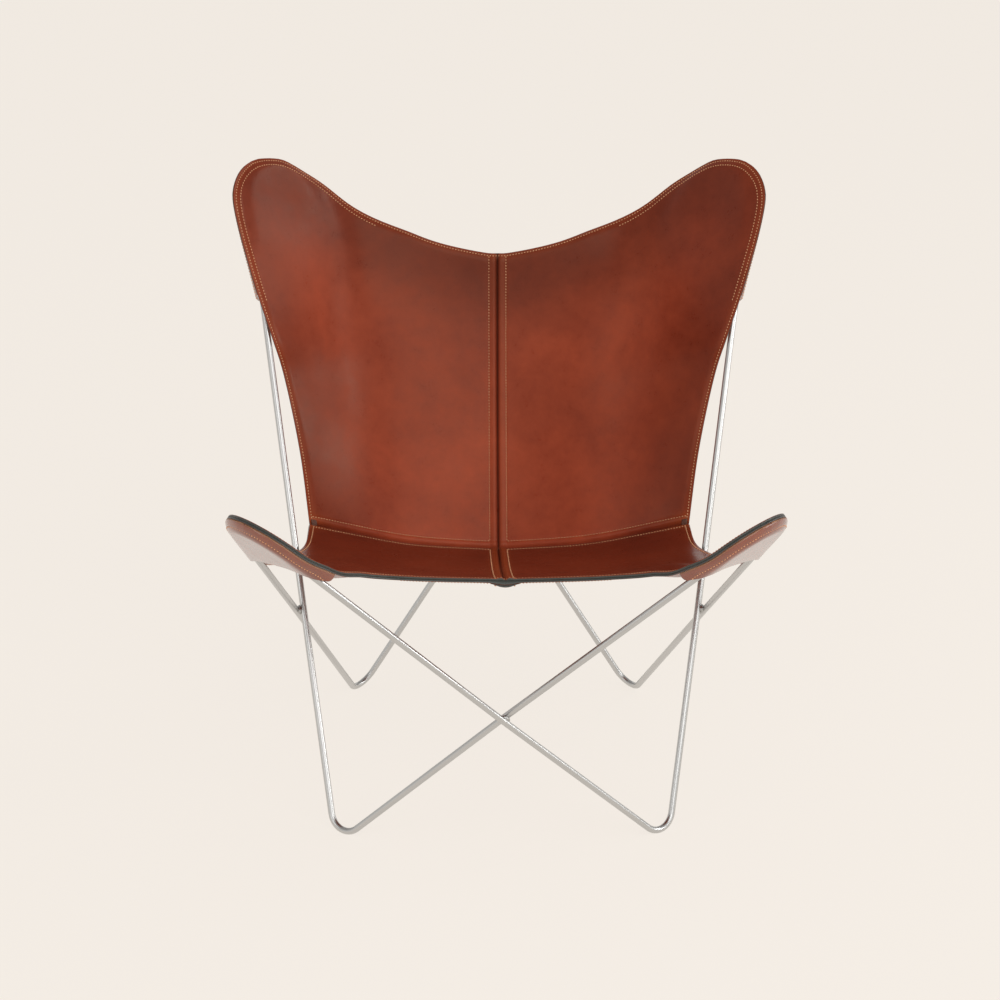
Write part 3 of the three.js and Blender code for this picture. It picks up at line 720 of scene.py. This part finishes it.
def make_wear():
    """Worked metal: streaks along the given place, small spots and a change of polish."""
    g, given = finish_group("worked_metal", TONE, ("Polish", VALUE, 0.2))
    streak, spot = (g.noise(given["Place"], scale, 3, 0.5) for scale in (1.0, 0.13))
    colour = g.mix(g.spread(streak, 0.4, 0.75, 0, 0.16), given["Tone"], (0.3, 0.3, 0.29, 1))
    rough = g.math("ADD", given["Polish"], g.spread(streak, 0.3, 0.7, -0.02, 0.03))
    rough = g.math("ADD", rough, g.spread(spot, 0.3, 0.7, -0.03, 0.05))
    g.add("NodeGroupOutput", {"Color": colour, "Roughness": rough, "Height": streak})
    return g.tree


def make_fibre():
    """Fine uneven stuff such as thread, tape and dried edge paint."""
    g, given = finish_group("fine_fibre", TONE, SHADE, rough=False)
    fine, patch = g.noise(given["Place"], 900, 3, 0.6), g.noise(given["Place"], 55, 4, 0.6)
    both = g.blend(fine, 0.5, patch, 0.5)
    colour = g.mix(g.spread(both, 0.35, 0.65), given["Shade"], given["Tone"])
    g.add("NodeGroupOutput", {"Color": colour, "Height": fine})
    return g.tree


hide_group, wear_group, fibre_group = make_hide(), make_wear(), make_fibre()


def new_finish(name):
    material = bpy.data.materials.new(name)
    material.use_nodes = True
    material.node_tree.nodes.clear()
    return material, Graph(material.node_tree)


def close_finish(g, inputs, height, strength, distance):
    """Principled surface with a bump, joined to the output."""
    bump = g.add("ShaderNodeBump", {"Height": height, "Strength": strength, "Distance": distance})
    shader = g.add("ShaderNodeBsdfPrincipled", {**inputs, "Normal": bump.outputs["Normal"]})
    g.add("ShaderNodeOutputMaterial", {"Surface": shader.outputs["BSDF"]})


def leather_finish(name, tone, shade, gloss, grain, with_marks=False):
    """gloss is (specular level, coat weight, coat roughness); leather with marks shows those of its panel: painted
    light and shade, painted shade in the seam valleys, lighter drawn leather and a painted highlight beside the
    middle seam.
    """
    material, g = new_finish(name)
    hide = g.group(hide_group, Tone=(*tone, 1), Shade=(*shade, 1), Place=g.here())
    colour = hide["Color"]
    if with_marks:
        strain, valley, faded = (
            g.add("ShaderNodeAttribute", attribute_name=key).outputs["Fac"] for key in ("strain", "valley", "faded")
        )
        # painted light and shade: darker toward the back's top and side edges and over the whole seat
        colour = g.mix(faded, g.mix(1.0, colour, (*PAINTED_SHADE_TINT, 1), "MULTIPLY"), colour)
        # lighter where drawn tight, with a painted highlight beside the middle seam
        colour = g.mix(g.math("MULTIPLY", strain, 0.55), colour, (*STRAINED_AND_SHEEN, 1))
        # painted shade in the seam valleys
        colour = g.mix(g.math("MULTIPLY", valley, 0.8), colour, (*SEAM_SHADE_TONE, 1))
    inputs = {
        "Base Color": colour, "Roughness": hide["Roughness"],
        "Specular IOR Level": gloss[0], "Coat Weight": gloss[1], "Coat Roughness": gloss[2],
        "Coat IOR": 1.7, "Specular Tint": (1.0, 0.82, 0.62, 1),
    }
    close_finish(g, inputs, hide["Height"], grain, 0.0005)
    return material


def metal_finish(name, tone, polish, along):
    """Metal with streaks along its length, or with spots all over."""
    material, g = new_finish(name)
    if along:
        source, scale = g.add("ShaderNodeUVMap", uv_map="along").outputs["UV"], (5.0, 320.0, 1.0)
    else:
        source, scale = g.here(), (500.0, 500.0, 500.0)
    place_at = g.add("ShaderNodeMapping", {"Vector": source, "Scale": scale}).outputs["Vector"]
    wear = g.group(wear_group, Tone=(*tone, 1), Polish=polish, Place=place_at)
    inputs = {"Base Color": wear["Color"], "Roughness": wear["Roughness"], "Metallic": 1.0}
    close_finish(g, inputs, wear["Height"], 0.01 if along else 0.3, 0.0002)
    return material


def fibre_finish(name, tone, shade, roughness, strength):
    material, g = new_finish(name)
    fibre = g.group(fibre_group, Tone=(*tone, 1), Shade=(*shade, 1), Place=g.here())
    close_finish(g, {"Base Color": fibre["Color"], "Roughness": roughness}, fibre["Height"], strength, 0.0003)
    return material


# the first colour darkens the back toward its edges and the whole seat as painted shade
# the last colour is the painted shade in the seam valleys
# the second colour is lighter drawn leather and, beside the middle seam, a painted highlight
PAINTED_SHADE_TINT, STRAINED_AND_SHEEN, SEAM_SHADE_TONE = (0.46, 0.43, 0.44), (0.42, 0.085, 0.024), (0.045, 0.012, 0.008)
FACE_DYE = (0.46, 0.071, 0.026), (0.29, 0.04, 0.0155)
BACK_DYE = (0.27, 0.055, 0.02), (0.18, 0.032, 0.013)
face_leather = leather_finish("cognac_face", *FACE_DYE, (0.24, 0.0, 0.25), 0.2, with_marks=True)
lining_leather = leather_finish("cognac_lining", *BACK_DYE, (0.4, 0.25, 0.2), 0.05)
pocket_leather = leather_finish("cognac_pocket", *BACK_DYE, (0.4, 1.0, 0.2), 0.0)
edge_paint = fibre_finish("edge_paint", (0.062, 0.066, 0.058), (0.034, 0.037, 0.032), 0.42, 0.15)
tape_leather = fibre_finish("seam_tape", (0.24, 0.06, 0.03), (0.15, 0.035, 0.018), 0.6, 0.3)
thread = fibre_finish("tan_thread", (0.8, 0.42, 0.22), (0.6, 0.27, 0.13), 0.55, 0.4)
raw_edge = fibre_finish("raw_edge", (0.4, 0.2, 0.1), (0.28, 0.12, 0.06), 0.6, 0.2)
tack_thread = fibre_finish("dark_thread", (0.17, 0.055, 0.028), (0.09, 0.03, 0.016), 0.55, 0.5)
rod_steel = metal_finish("polished_rod", (0.57, 0.567, 0.556), 0.3, along=True)
weld_steel = metal_finish("weld_bead", (0.46, 0.455, 0.44), 0.3, along=False)


# Sling panels


def panel_marks(area, u, w, edges):
    """Painted shade in the seam valleys, lighter leather where drawn tight with a painted highlight beside the
    middle seam, and painted light and shade over the back and seat.
    """
    middle, cross = area.from_seams(u, w)
    reach = area.from_seams(np.ones_like(u), w)[0] - middle
    # painted shade: darkness painted into the seam valleys
    valley = np.maximum(relief(middle, SEAM_PAINTED_SHADE), relief(cross, CROSS_PAINTED_SHADE))
    # lighter where drawn tight at the edges and cross seam ends; beside the middle seam a painted highlight
    strain = relief(middle, SEAM_SHEEN_AND_STRAIN[area.name]) + relief(np.minimum(*edges), EDGE_STRAIN)
    strain = strain + relief(cross, CROSS_STRAIN) * bell(reach, 0, CROSS_STRAIN_W)
    # painted light and shade: the back lighter in its middle, darker toward its top and side edges; the seat gets
    # none, so it is painted darker all over
    faded = (area.way > 0) * smoothstep(edges[0], *PAINTED_LIGHT_TOP) * (1 - 0.3 * smoothstep(cross, *PAINTED_LIGHT_CROSS))
    faded = faded * (0.3 + 0.7 * smoothstep(edges[1], *PAINTED_LIGHT_SIDE))
    return {"valley": valley, "strain": np.clip(strain, 0, 1), "faded": faded}


def panel_pieces(area, inner_u, inner_w):
    u, w = panel_places(area, inner_u, inner_w)
    outward = slice(None, None, area.way)
    u, w = u[outward], w[outward]
    base, normal = sling_point(u, w), sling_normal(u, w)
    edges = area.from_edges(base)
    marks = panel_marks(area, u, w, edges)
    flat, cut = PANEL_CUT[area.name]
    half = np.full_like(u, HALF_GAP)
    for kind, node, low, high, skin, way in (
        ("face", "panel", half, face_height(area, u, w), face_leather, 1),
        ("under", "lining", lining_height(area, u, w), -half, lining_leather, -1),
    ):
        low, high = (base + normal * height[..., None] for height in (low, high))
        shown = high if way > 0 else low
        record_surface(f"{kind}_{area.name}", shown[outward], way * normal[outward], [x[outward] for x in edges])
        for side, grids in both_sides(low, high):
            turn, rim = (1, 4) if side == "right" else (-1, 3)
            marked = {key: x[:, ::turn] for key, x in marks.items()} if way > 0 else None
            name = f"{kind}_{area.name}_{side}"
            piece = closed_sheet(name, *grids, skin, edge_paint, [area.outer_rim, rim], marked)
            dress(
                piece, f"{area.name}_{node}_{side}", "face_leather" if way > 0 else "lining_leather",
                flat=flat, area=cut, held="hung", rests_on=["rod_loop_right_foot", "rod_loop_left_foot"],
            )


for area in (back, seat):
    panel_pieces(area, *PANEL_POINTS[area.name])


# Tape under the seams


def tape_depth(area, u, w):
    return lining_height(area, u, w) - 2 * CLEARANCE


def tape_layers(area, u, w, distance):
    """Outer and inner side of a tape: crowned over the seam, thin at its sides."""
    thinning = TAPE_THINNING * smoothstep(distance, TAPE_THINS_FROM, TAPE_HALF_W)
    profile = relief(distance, TAPE_CROWN) - thinning - relief(distance, TAPE_GROOVE)
    profile = profile - rounded(TAPE_HALF_W - distance, TAPE_ROUND)
    depth = tape_depth(area, u, w)
    return over(u, w, depth - TAPE_T - profile), over(u, w, depth)


def tape_piece(name, layers, painted, rests_on):
    low, high = (np.concatenate([mirrored(g)[:, :0:-1], g], axis=1) for g in layers)
    piece = closed_sheet(f"tape_{name}", low, high, tape_leather, edge_paint, painted)
    flat = 2 * TAPE_HALF_W * MM, TAPE_LENGTH[name]
    dress(piece, f"seam_strip_{name}", "seam_tape", flat=flat, held="stretched", rests_on=[rests_on])


def lengthwise_tape(area):
    rows = []
    for along in np.linspace(TAPE_HALF_W + 0.6, area.column(0.0)[-1] - 0.05, TAPE_POINTS):
        w = area.w_at(along, 0.0)
        rows.append((area.u_at(TAPE_STEPS, w), np.full(len(TAPE_STEPS), w)))
    u, w = (np.stack(x)[::area.way] for x in zip(*rows))
    layers = tape_layers(area, u, w, np.broadcast_to(TAPE_STEPS, u.shape))
    tape_piece(area.name, layers, [area.outer_rim], "under_back_right")


def cross_tape():
    rows = []
    u = np.linspace(0, CROSS_TAPE, TAPE_POINTS)
    for area, steps in ((seat, TAPE_STEPS[::-1]), (back, TAPE_STEPS[1:])):
        for distance in steps:
            w = np.array([area.w_at(distance, x) for x in u])
            rows.append(tape_layers(area, u, w, distance))
    tape_piece("cross", [np.stack(x) for x in zip(*rows)], (), "under_seat_right")


lengthwise_tape(back)
lengthwise_tape(seat)
cross_tape()


# Pockets

rod_places = np.concatenate([
    np.linspace(a, b, max(2, int(size_of(b - a) / ROD_STEP)), endpoint=False)
    for line in rod_lines for a, b in zip(line, np.roll(line, -1, axis=0))
])


def rod_cover(points, normals):
    """Depth under the sling's plane that clears the rods, falling away to the sides."""
    off = points[:, None] - rod_places
    deep = (off * normals[:, None]).sum(-1)
    beside = np.sqrt(np.maximum(0, (off**2).sum(-1) - deep**2))
    cover = deep + ROD_D / 2 + POCKET_PLAY - np.maximum(0, beside - ROD_D) * POCKET_SLOPE
    return np.where(beside < POCKET_TENT, cover, 0).max(1)


def share_where(line, reached):
    shares = np.linspace(0, 1, 1001)
    return shares[np.argmax(reached(line.at(shares)))]


def pocket_places(area, mouth_u, mouth_w, scoop):
    """Grid of (u, w) over a pocket, rows from its tip to the mouth and columns from the outer to the side edge."""
    rows = []
    for r in POCKET_ROWS:
        def at(q):
            reach = r * (1 - scoop * q / MOUTH_CUT * np.exp(1 - q / MOUTH_CUT))
            return 1 - reach * (1 - mouth_u) * (1 - q), area.way * (1 - reach * (1 - mouth_w) * q)

        ends = sling_point(*at(np.array([0.0, 1.0])))
        width = size_of(ends[1] - ends[0])
        near = POCKET_NEAR * min(1, width / 3 / POCKET_NEAR[-1]) / width
        rows.append(at(np.concatenate([near, np.linspace(near[-1], 1 - near[-1], 16)[1:-1], 1 - near[::-1]])))
    return (np.stack(x) for x in zip(*rows))


def pocket_pieces(name, node, area, mouth, scoop, flat, cut):
    """mouth is where it opens on the two edges, as (u, w); scoop is how far it is cut back beside the outer edge."""
    u, w = pocket_places(area, *mouth, scoop)
    base, normal = sling_point(u, w), sling_normal(u, w)
    edges = area.from_edges(base)
    inset = np.minimum(*edges)
    full = ROD_DEPTH + ROD_D / 2 + POCKET_PLAY - area.rest.hollow(base)
    cover = np.maximum(full, rod_cover(base.reshape(-1, 3), normal.reshape(-1, 3)).reshape(u.shape))
    for _ in range(3):
        around = (cover[:-2, 1:-1] + cover[2:, 1:-1] + cover[1:-1, :-2] + cover[1:-1, 2:]) / 4
        cover[1:-1, 1:-1] = np.maximum(cover[1:-1, 1:-1] - COVER_EASE, around)
    sewn = CLEARANCE * 2 - lining_height(area, u, w)
    beyond = np.maximum(area.rest.outside(base) - ROD_D / 4, 0)
    bulge = inset / np.maximum(inset + beyond, 1e-6)
    depth = sewn + (cover - sewn) * bulge * (2 - bulge)
    lip = rounded((1 - np.broadcast_to(POCKET_ROWS[:, None], u.shape)) * POCKET_LENGTH, MOUTH_ROUND)
    thick = np.maximum(layer(area, "pocket", POCKET_T, inset) - lip, LEAST_T)
    outer, inner = (base - normal * x[..., None] for x in (depth + thick, depth))
    record_surface(f"pocket_{area.name}", outer, -normal, edges)
    for side, grids in both_sides(*(g[:, ::-area.way] for g in (outer, inner))):
        piece = closed_sheet(f"{name}_{side}", *grids, pocket_leather, raw_edge, [2, 3, 4])
        dress(
            piece, f"{node}_{side}", "lining_leather",
            flat=flat, area=cut, held="stretched", rests_on=[f"under_{area.name}_{side}"],
        )


wing_mouth = (
    share_where(front_edge, lambda p: p[:, 0] > wing_pocket_front[0]),
    share_where(rear_edge, lambda p: p[:, 1] < wing_pocket_rear[1]),
)
top_mouth = (
    share_where(top_edge, lambda p: p[:, 0] > BACK_POCKET_INNER),
    share_where(side_edge, lambda p: p[:, 2] > BACK_POCKET_MOUTH),
)
pocket_pieces("pocket_wing", "wing_pocket", seat, wing_mouth, scoop=0.13, flat=(0.14, 0.26), cut=0.018)
pocket_pieces("pocket_top", "back_pocket", back, top_mouth, scoop=0.0, flat=(0.2, 0.26), cut=0.033)


# Stitches

STITCH_SIDES = 6
# rings of a stitch: place along it, size and rise
STITCH_RINGS = [(-1.0, 0.5, -0.3), (-0.66, 0.95, 0.2), (0.0, 1.0, 0.35), (0.66, 0.95, 0.2), (1.0, 0.5, -0.3)]
STITCH_SIZE = STITCH_SIDES * len(STITCH_RINGS)


def circle(sides):
    return np.arange(sides) * 2 * math.pi / sides


def tube_faces(rings, sides):
    """Quads round a tube of rings, and the vertices of its rings."""
    at = np.arange(rings * sides).reshape(rings, sides)
    closed = np.pad(at, ((0, 0), (0, 1)), "wrap")
    return strips(closed[:-1], closed[1:], True), at


def stitch_row(points, normals):
    """Vertices of the stitches along a line that lies on the leather, normals pointing out of it."""
    line = Line(points)
    count = max(1, int(line.run[-1] / STITCH_PITCH))
    shares = (np.arange(count) + 0.5) / count
    centre = line.at(shares)
    ahead = unit(line.at(np.minimum(shares + 0.002, 1)) - line.at(np.maximum(shares - 0.002, 0)))
    out = unit(line.at(shares, normals))
    slant = unit(ahead + STITCH_SLANT * unit(np.cross(out, ahead)))
    beside = unit(np.cross(out, slant))
    cos, sin = (f(circle(STITCH_SIDES))[:, None] for f in (np.cos, np.sin))
    rings = []
    for along, size, rise in STITCH_RINGS:
        middle = centre + slant * along * STITCH_LENGTH / 2 + out * rise * THREAD_R
        rings.append(middle[:, None] + (beside[:, None] * cos + out[:, None] * sin) * THREAD_R * size)
    return np.stack(rings, axis=1).reshape(-1, 3)


def stitch_piece(name, rows):
    """Stitches along right-hand lines and their mirror images."""
    points = np.concatenate([
        stitch_row(turn(line), turn(normals)) for line, normals in rows for turn in (np.asarray, mirrored)
    ])
    quads, at = tube_faces(len(STITCH_RINGS), STITCH_SIDES)
    first = np.arange(0, len(points), STITCH_SIZE)[:, None, None]
    ends = np.stack([at[0], at[-1, ::-1]])
    faces = (quads + first).reshape(-1, 4).tolist() + (ends + first).reshape(-1, STITCH_SIDES).tolist()
    mesh_object(name, points, faces, [thread])


def inset_line(runs, inset):
    """Line on a finished surface at a distance inside its edge; runs start at that edge and go inward."""
    line = []
    for run, out, edge, other in runs:
        inner = np.argmax(edge >= inset)
        if inner == 0:
            continue
        share = (inset - edge[inner - 1]) / (edge[inner] - edge[inner - 1])
        point, normal, apart = (x[inner - 1] + (x[inner] - x[inner - 1]) * share for x in (run, out, other))
        if apart > CORNER_SHARE * inset:
            line.append((point, unit(normal)))
    points, normals = (np.array(x) for x in zip(*line))
    for _ in range(2):
        points[1:-1] = (points[:-2] + 2 * points[1:-1] + points[2:]) / 4
    return points, normals


def edge_runs(surface):
    """Runs inward from the outer edge, from the middle to the corner, then from the side edge to the cross seam."""
    grid, normals, (outer, side) = surfaces[surface]
    down = [tuple(x[::-1, j] for x in (grid, normals, outer, side)) for j in range(grid.shape[1])]
    return down + [tuple(x[i, ::-1] for x in (grid, normals, side, outer)) for i in reversed(range(len(grid)))]


def pocket_runs(surface):
    """Runs inward from one sewn side of a pocket, from its mouth to the tip, and back along the other side."""
    grid, normals, edges = surfaces[surface]
    inset = np.minimum(*edges)
    rows = range(1, len(grid))
    one_side = [tuple(x[i] for x in (grid, normals, inset, inset)) for i in reversed(rows)]
    return one_side + [tuple(x[i, ::-1] for x in (grid, normals, inset, inset)) for i in rows]


def face_row(area, u, w):
    return over(u, w, face_height(area, u, w) + THREAD_R * 0.2), sling_normal(u, w)


def near_bend(row, rest, reach):
    return size_of(row[0] - rest.arc["centre"]) < reach


middle_rows, cross_rows, edge_rows, pocket_rows = [], [], [], []
for area in (back, seat):
    w = area.w_at(np.linspace(SEAM_STITCH, area.column(0.0)[-1] - area.stitch, SEAM_POINTS), 0.0)
    u = np.array([area.u_at(SEAM_STITCH, x) for x in w])
    under_tape = over(u, w, tape_depth(area, u, w) - TAPE_T + 0.2), -sling_normal(u, w)
    middle_rows += [face_row(area, u, w), under_tape]
    u = np.linspace(area.u_at(SEAM_STITCH, 0), CROSS_STITCH, SEAM_POINTS)
    w = np.array([area.w_at(SEAM_STITCH, x) for x in u])
    cross_rows.append(face_row(area, u, w))
    edge_rows.append(inset_line(edge_runs(f"face_{area.name}"), area.stitch))
    under = inset_line(edge_runs(f"under_{area.name}"), area.stitch)
    held = np.flatnonzero(near_bend(under, area.rest, POCKET_HOLD[area.name]))
    edge_rows += [tuple(x[:held[0]] for x in under), tuple(x[held[-1] + 1:] for x in under)]
    pocket_rows.append(inset_line(pocket_runs(f"pocket_{area.name}"), area.stitch))
second = inset_line(edge_runs("face_back"), POCKET_STITCH)
pocket_rows.append(tuple(x[near_bend(second, lobe, LOBE_LINE)] for x in second))
stitch_piece("stitch_middle_seam", middle_rows)
stitch_piece("stitch_cross_seam", cross_rows)
stitch_piece("stitch_edge", edge_rows)
stitch_piece("stitch_pocket", pocket_rows)


def seam_tacks():
    """Close stitches over the ends of the cross seam, on the face."""
    length, width = TACK
    rows = []
    for across in np.linspace(-1, 1, 31):
        area = back if across >= 0 else seat
        w = area.w_at(abs(across) * width / 2, TACK_AT)
        row = []
        for inward in np.linspace(TACK_INSET + length, TACK_INSET, 9):
            u = area.u_at(area.row(w)[-1] - inward, w)
            end = min(inward - TACK_INSET, TACK_INSET + length - inward)
            rim = rounded((1 - abs(across)) * width / 2, 1.2) + rounded(end, 0.8)
            row.append((u, w, TACK_RISE + TACK_RIDGE * math.cos(across * math.pi * TACK_THREADS) - rim))
        rows.append(row)
    u, w, rise = np.moveaxis(np.array(rows), -1, 0)
    low, high = (over(u, w, HALF_GAP + FACE_T + x) for x in (0 * rise - TACK_DEPTH, rise))
    for side, grids in both_sides(low, high):
        closed_sheet(f"seam_tack_{side}", *grids, tack_thread, tack_thread)


seam_tacks()


# Frame rods and welds

ROD_SIDES = 28


def rod_piece(loop, line):
    count = len(line)
    tangents = unit(np.roll(line, -1, axis=0) - np.roll(line, 1, axis=0))
    normals = [unit(np.cross(UP, tangents[0]))]
    for tangent in (*tangents[1:], tangents[0]):
        normals.append(unit(normals[-1] - tangent * (normals[-1] @ tangent)))
    closing = math.atan2(np.cross(normals[count], normals[0]) @ tangents[0], normals[count] @ normals[0])
    normals = np.array(normals[:count])
    turned = (circle(ROD_SIDES) + closing * np.arange(count)[:, None] / count)[..., None]
    around = np.cos(turned) * normals[:, None] + np.sin(turned) * np.cross(tangents, normals)[:, None]
    points = line[:, None] + ROD_D / 2 * around
    points[..., 2] = np.maximum(points[..., 2], 0)
    at = np.pad(np.arange(count * ROD_SIDES).reshape(count, ROD_SIDES), (0, 1), "wrap")
    faces = strips(at[:-1], at[1:]).tolist()
    piece = mesh_object(f"rod_{loop}", points.reshape(-1, 3), faces, [rod_steel])
    run = Line(np.vstack([line, line[:1]])).run * MM
    round_it = np.arange(ROD_SIDES + 1) / ROD_SIDES * math.pi * ROD_D * MM
    uv = np.stack(np.meshgrid(run, round_it, indexing="ij"), axis=-1).reshape(-1, 2)
    at = np.arange(len(uv)).reshape(len(run), -1)
    along = uv[strips(at[:-1], at[1:])].ravel().astype(np.float32)
    piece.data.uv_layers.new(name="along").data.foreach_set("uv", along)
    dress(piece, f"frame_{loop}", "rod")


def weld_piece(where, crossing):
    """Rippled bead that fills the corners between two crossing rods."""
    around, rings = 64, 24
    split = unit(crossing["along"][0] + crossing["along"][1])
    across = np.cross(crossing["normal"], split)
    theta = np.linspace(0, math.pi, rings + 1)[1:-1, None]
    phi = circle(around)[None]
    ripple = 1 + WELD_RIPPLE[0] * np.sin(phi * WELD_RIPPLE[1]) * np.sin(theta)
    ripple = ripple + WELD_WAVE[0] * np.sin(phi * WELD_WAVE[1] + 1)
    reach = WELD_REACH * np.sin(theta) * ripple
    points = crossing["middle"] + (
        (reach * np.cos(phi))[..., None] * split
        + (reach * np.sin(phi))[..., None] * across
        + (np.cos(theta) * WELD_HALF_HEIGHT + 0 * phi)[..., None] * crossing["normal"]
    )
    tips = [crossing["middle"] + crossing["normal"] * WELD_HALF_HEIGHT * s for s in (1, -1)]
    quads, at = tube_faces(rings - 1, around)
    north, south = at.size, at.size + 1
    faces = quads.tolist()
    faces += [(north, at[0, k], at[0, k - around + 1]) for k in range(around)]
    faces += [(south, at[-1, k - around + 1], at[-1, k]) for k in range(around)]
    points = np.concatenate([points.reshape(-1, 3), tips])
    dress(mesh_object(f"weld_bead_{where}", points, faces, [weld_steel]), f"weld_{where}", "weld")


for loop, line in zip(("loop_right_foot", "loop_left_foot"), rod_lines):
    rod_piece(loop, line)
for where, crossing in chair["crossings"].items():
    weld_piece(where, crossing)


# Stage, light and camera

BACKDROP = (0.888, 0.831, 0.767, 1)
FLOOR_REACH = 20.0
FLOOR_GLOW, FLOOR_GLOW_SHARE = 1.06, 0.87
# Camera of the reference view: place in layout millimetres, turn in radians, focal length in pixels of 1000
CAMERA_AT = np.array([-96.9, -3887.8, 1934.5])
CAMERA_TURN = (0.02487, 0.36966, 0.00702)
FOCAL = 2745.8
SENSOR = 36.0
LAMPS = {  # place, target and size in metres, power in watts
    "key": ((1.35, -3.35, 3.0), (0, 0, 0.55), (4.2, 2.9), 62),
    "high_side": ((3.2, 0.75, 2.35), (0, 0.2, 0.8), (0.8, 0.7), 10),
    "low_side": ((3.3, -0.55, 1.3), (0, 0, 0.6), (1.3, 0.7), 17),
    "left_fill": ((-2.7, -2.5, 1.9), (0, 0, 0.6), (1.6, 1.6), 11),
}


def make_floor():
    mesh = bpy.data.meshes.new("floor")
    corners = [(x * FLOOR_REACH, y * FLOOR_REACH, 0) for x, y in ((-1, -1), (1, -1), (1, 1), (-1, 1))]
    mesh.from_pydata(corners, [], [(0, 1, 2, 3)])
    floor = add_object("floor", mesh)
    material, g = new_finish("studio_floor")
    seen = g.add("ShaderNodeLightPath").outputs
    mirror = g.math("MAXIMUM", seen["Is Glossy Ray"], seen["Is Transmission Ray"])
    pale = g.math("MULTIPLY", g.math("MAXIMUM", seen["Is Camera Ray"], mirror), FLOOR_GLOW_SHARE)
    matt = g.add("ShaderNodeBsdfDiffuse", {"Color": BACKDROP})
    glow = g.add("ShaderNodeEmission", {"Color": BACKDROP, "Strength": FLOOR_GLOW})
    both = g.add("ShaderNodeMixShader", {0: pale, 1: matt.outputs[0], 2: glow.outputs[0]})
    g.add("ShaderNodeOutputMaterial", {"Surface": both.outputs[0]})
    mesh.materials.append(material)


def make_world():
    world = bpy.data.worlds.new("studio")
    bpy.context.scene.world = world
    world.use_nodes = True
    world.node_tree.nodes.clear()
    g = Graph(world.node_tree)
    way = g.add("ShaderNodeTexCoord").outputs["Generated"]
    height = g.add("ShaderNodeSeparateXYZ", {"Vector": way}).outputs["Z"]
    wall = g.spread(height, 0.1, 0.6, 0.85, 0.42)
    soft = g.add("ShaderNodeBackground", {"Color": (1.0, 0.98, 0.955, 1), "Strength": wall})
    g.add("ShaderNodeOutputWorld", {"Surface": soft.outputs[0]})


def aim(item, at, right, top, backward):
    turn = np.stack([right, top, backward], axis=1)
    item.matrix_world = Matrix.Translation(at) @ Matrix(turn.tolist()).to_4x4()


def softbox(name, at, target, size, power):
    light = bpy.data.lights.new(name, "AREA")
    light.shape = "RECTANGLE"
    light.size, light.size_y = size
    light.energy = power
    backward = unit(np.array(at) - np.array(target))
    right = unit(np.cross(UP, backward))
    aim(add_object(name, light), at, right, np.cross(backward, right), backward)


def make_camera():
    yaw, pitch, roll = CAMERA_TURN
    ahead = np.array([math.sin(yaw) * math.cos(pitch), math.cos(yaw) * math.cos(pitch), -math.sin(pitch)])
    right = np.array([math.cos(yaw), -math.sin(yaw), 0])
    top = np.cross(right, ahead)
    data = bpy.data.cameras.new("camera")
    data.sensor_width = SENSOR
    data.lens = SENSOR * FOCAL / 1000
    data.clip_end = 100.0
    camera = add_object("camera", data)
    turned_right = right * math.cos(roll) + top * math.sin(roll)
    turned_top = top * math.cos(roll) - right * math.sin(roll)
    aim(camera, place(CAMERA_AT).tolist(), turned_right, turned_top, -ahead)
    bpy.context.scene.camera = camera


make_floor()
make_world()
for name, lamp in LAMPS.items():
    softbox(name, *lamp)
make_camera()
bpy.context.scene.view_settings.view_transform = "Standard"
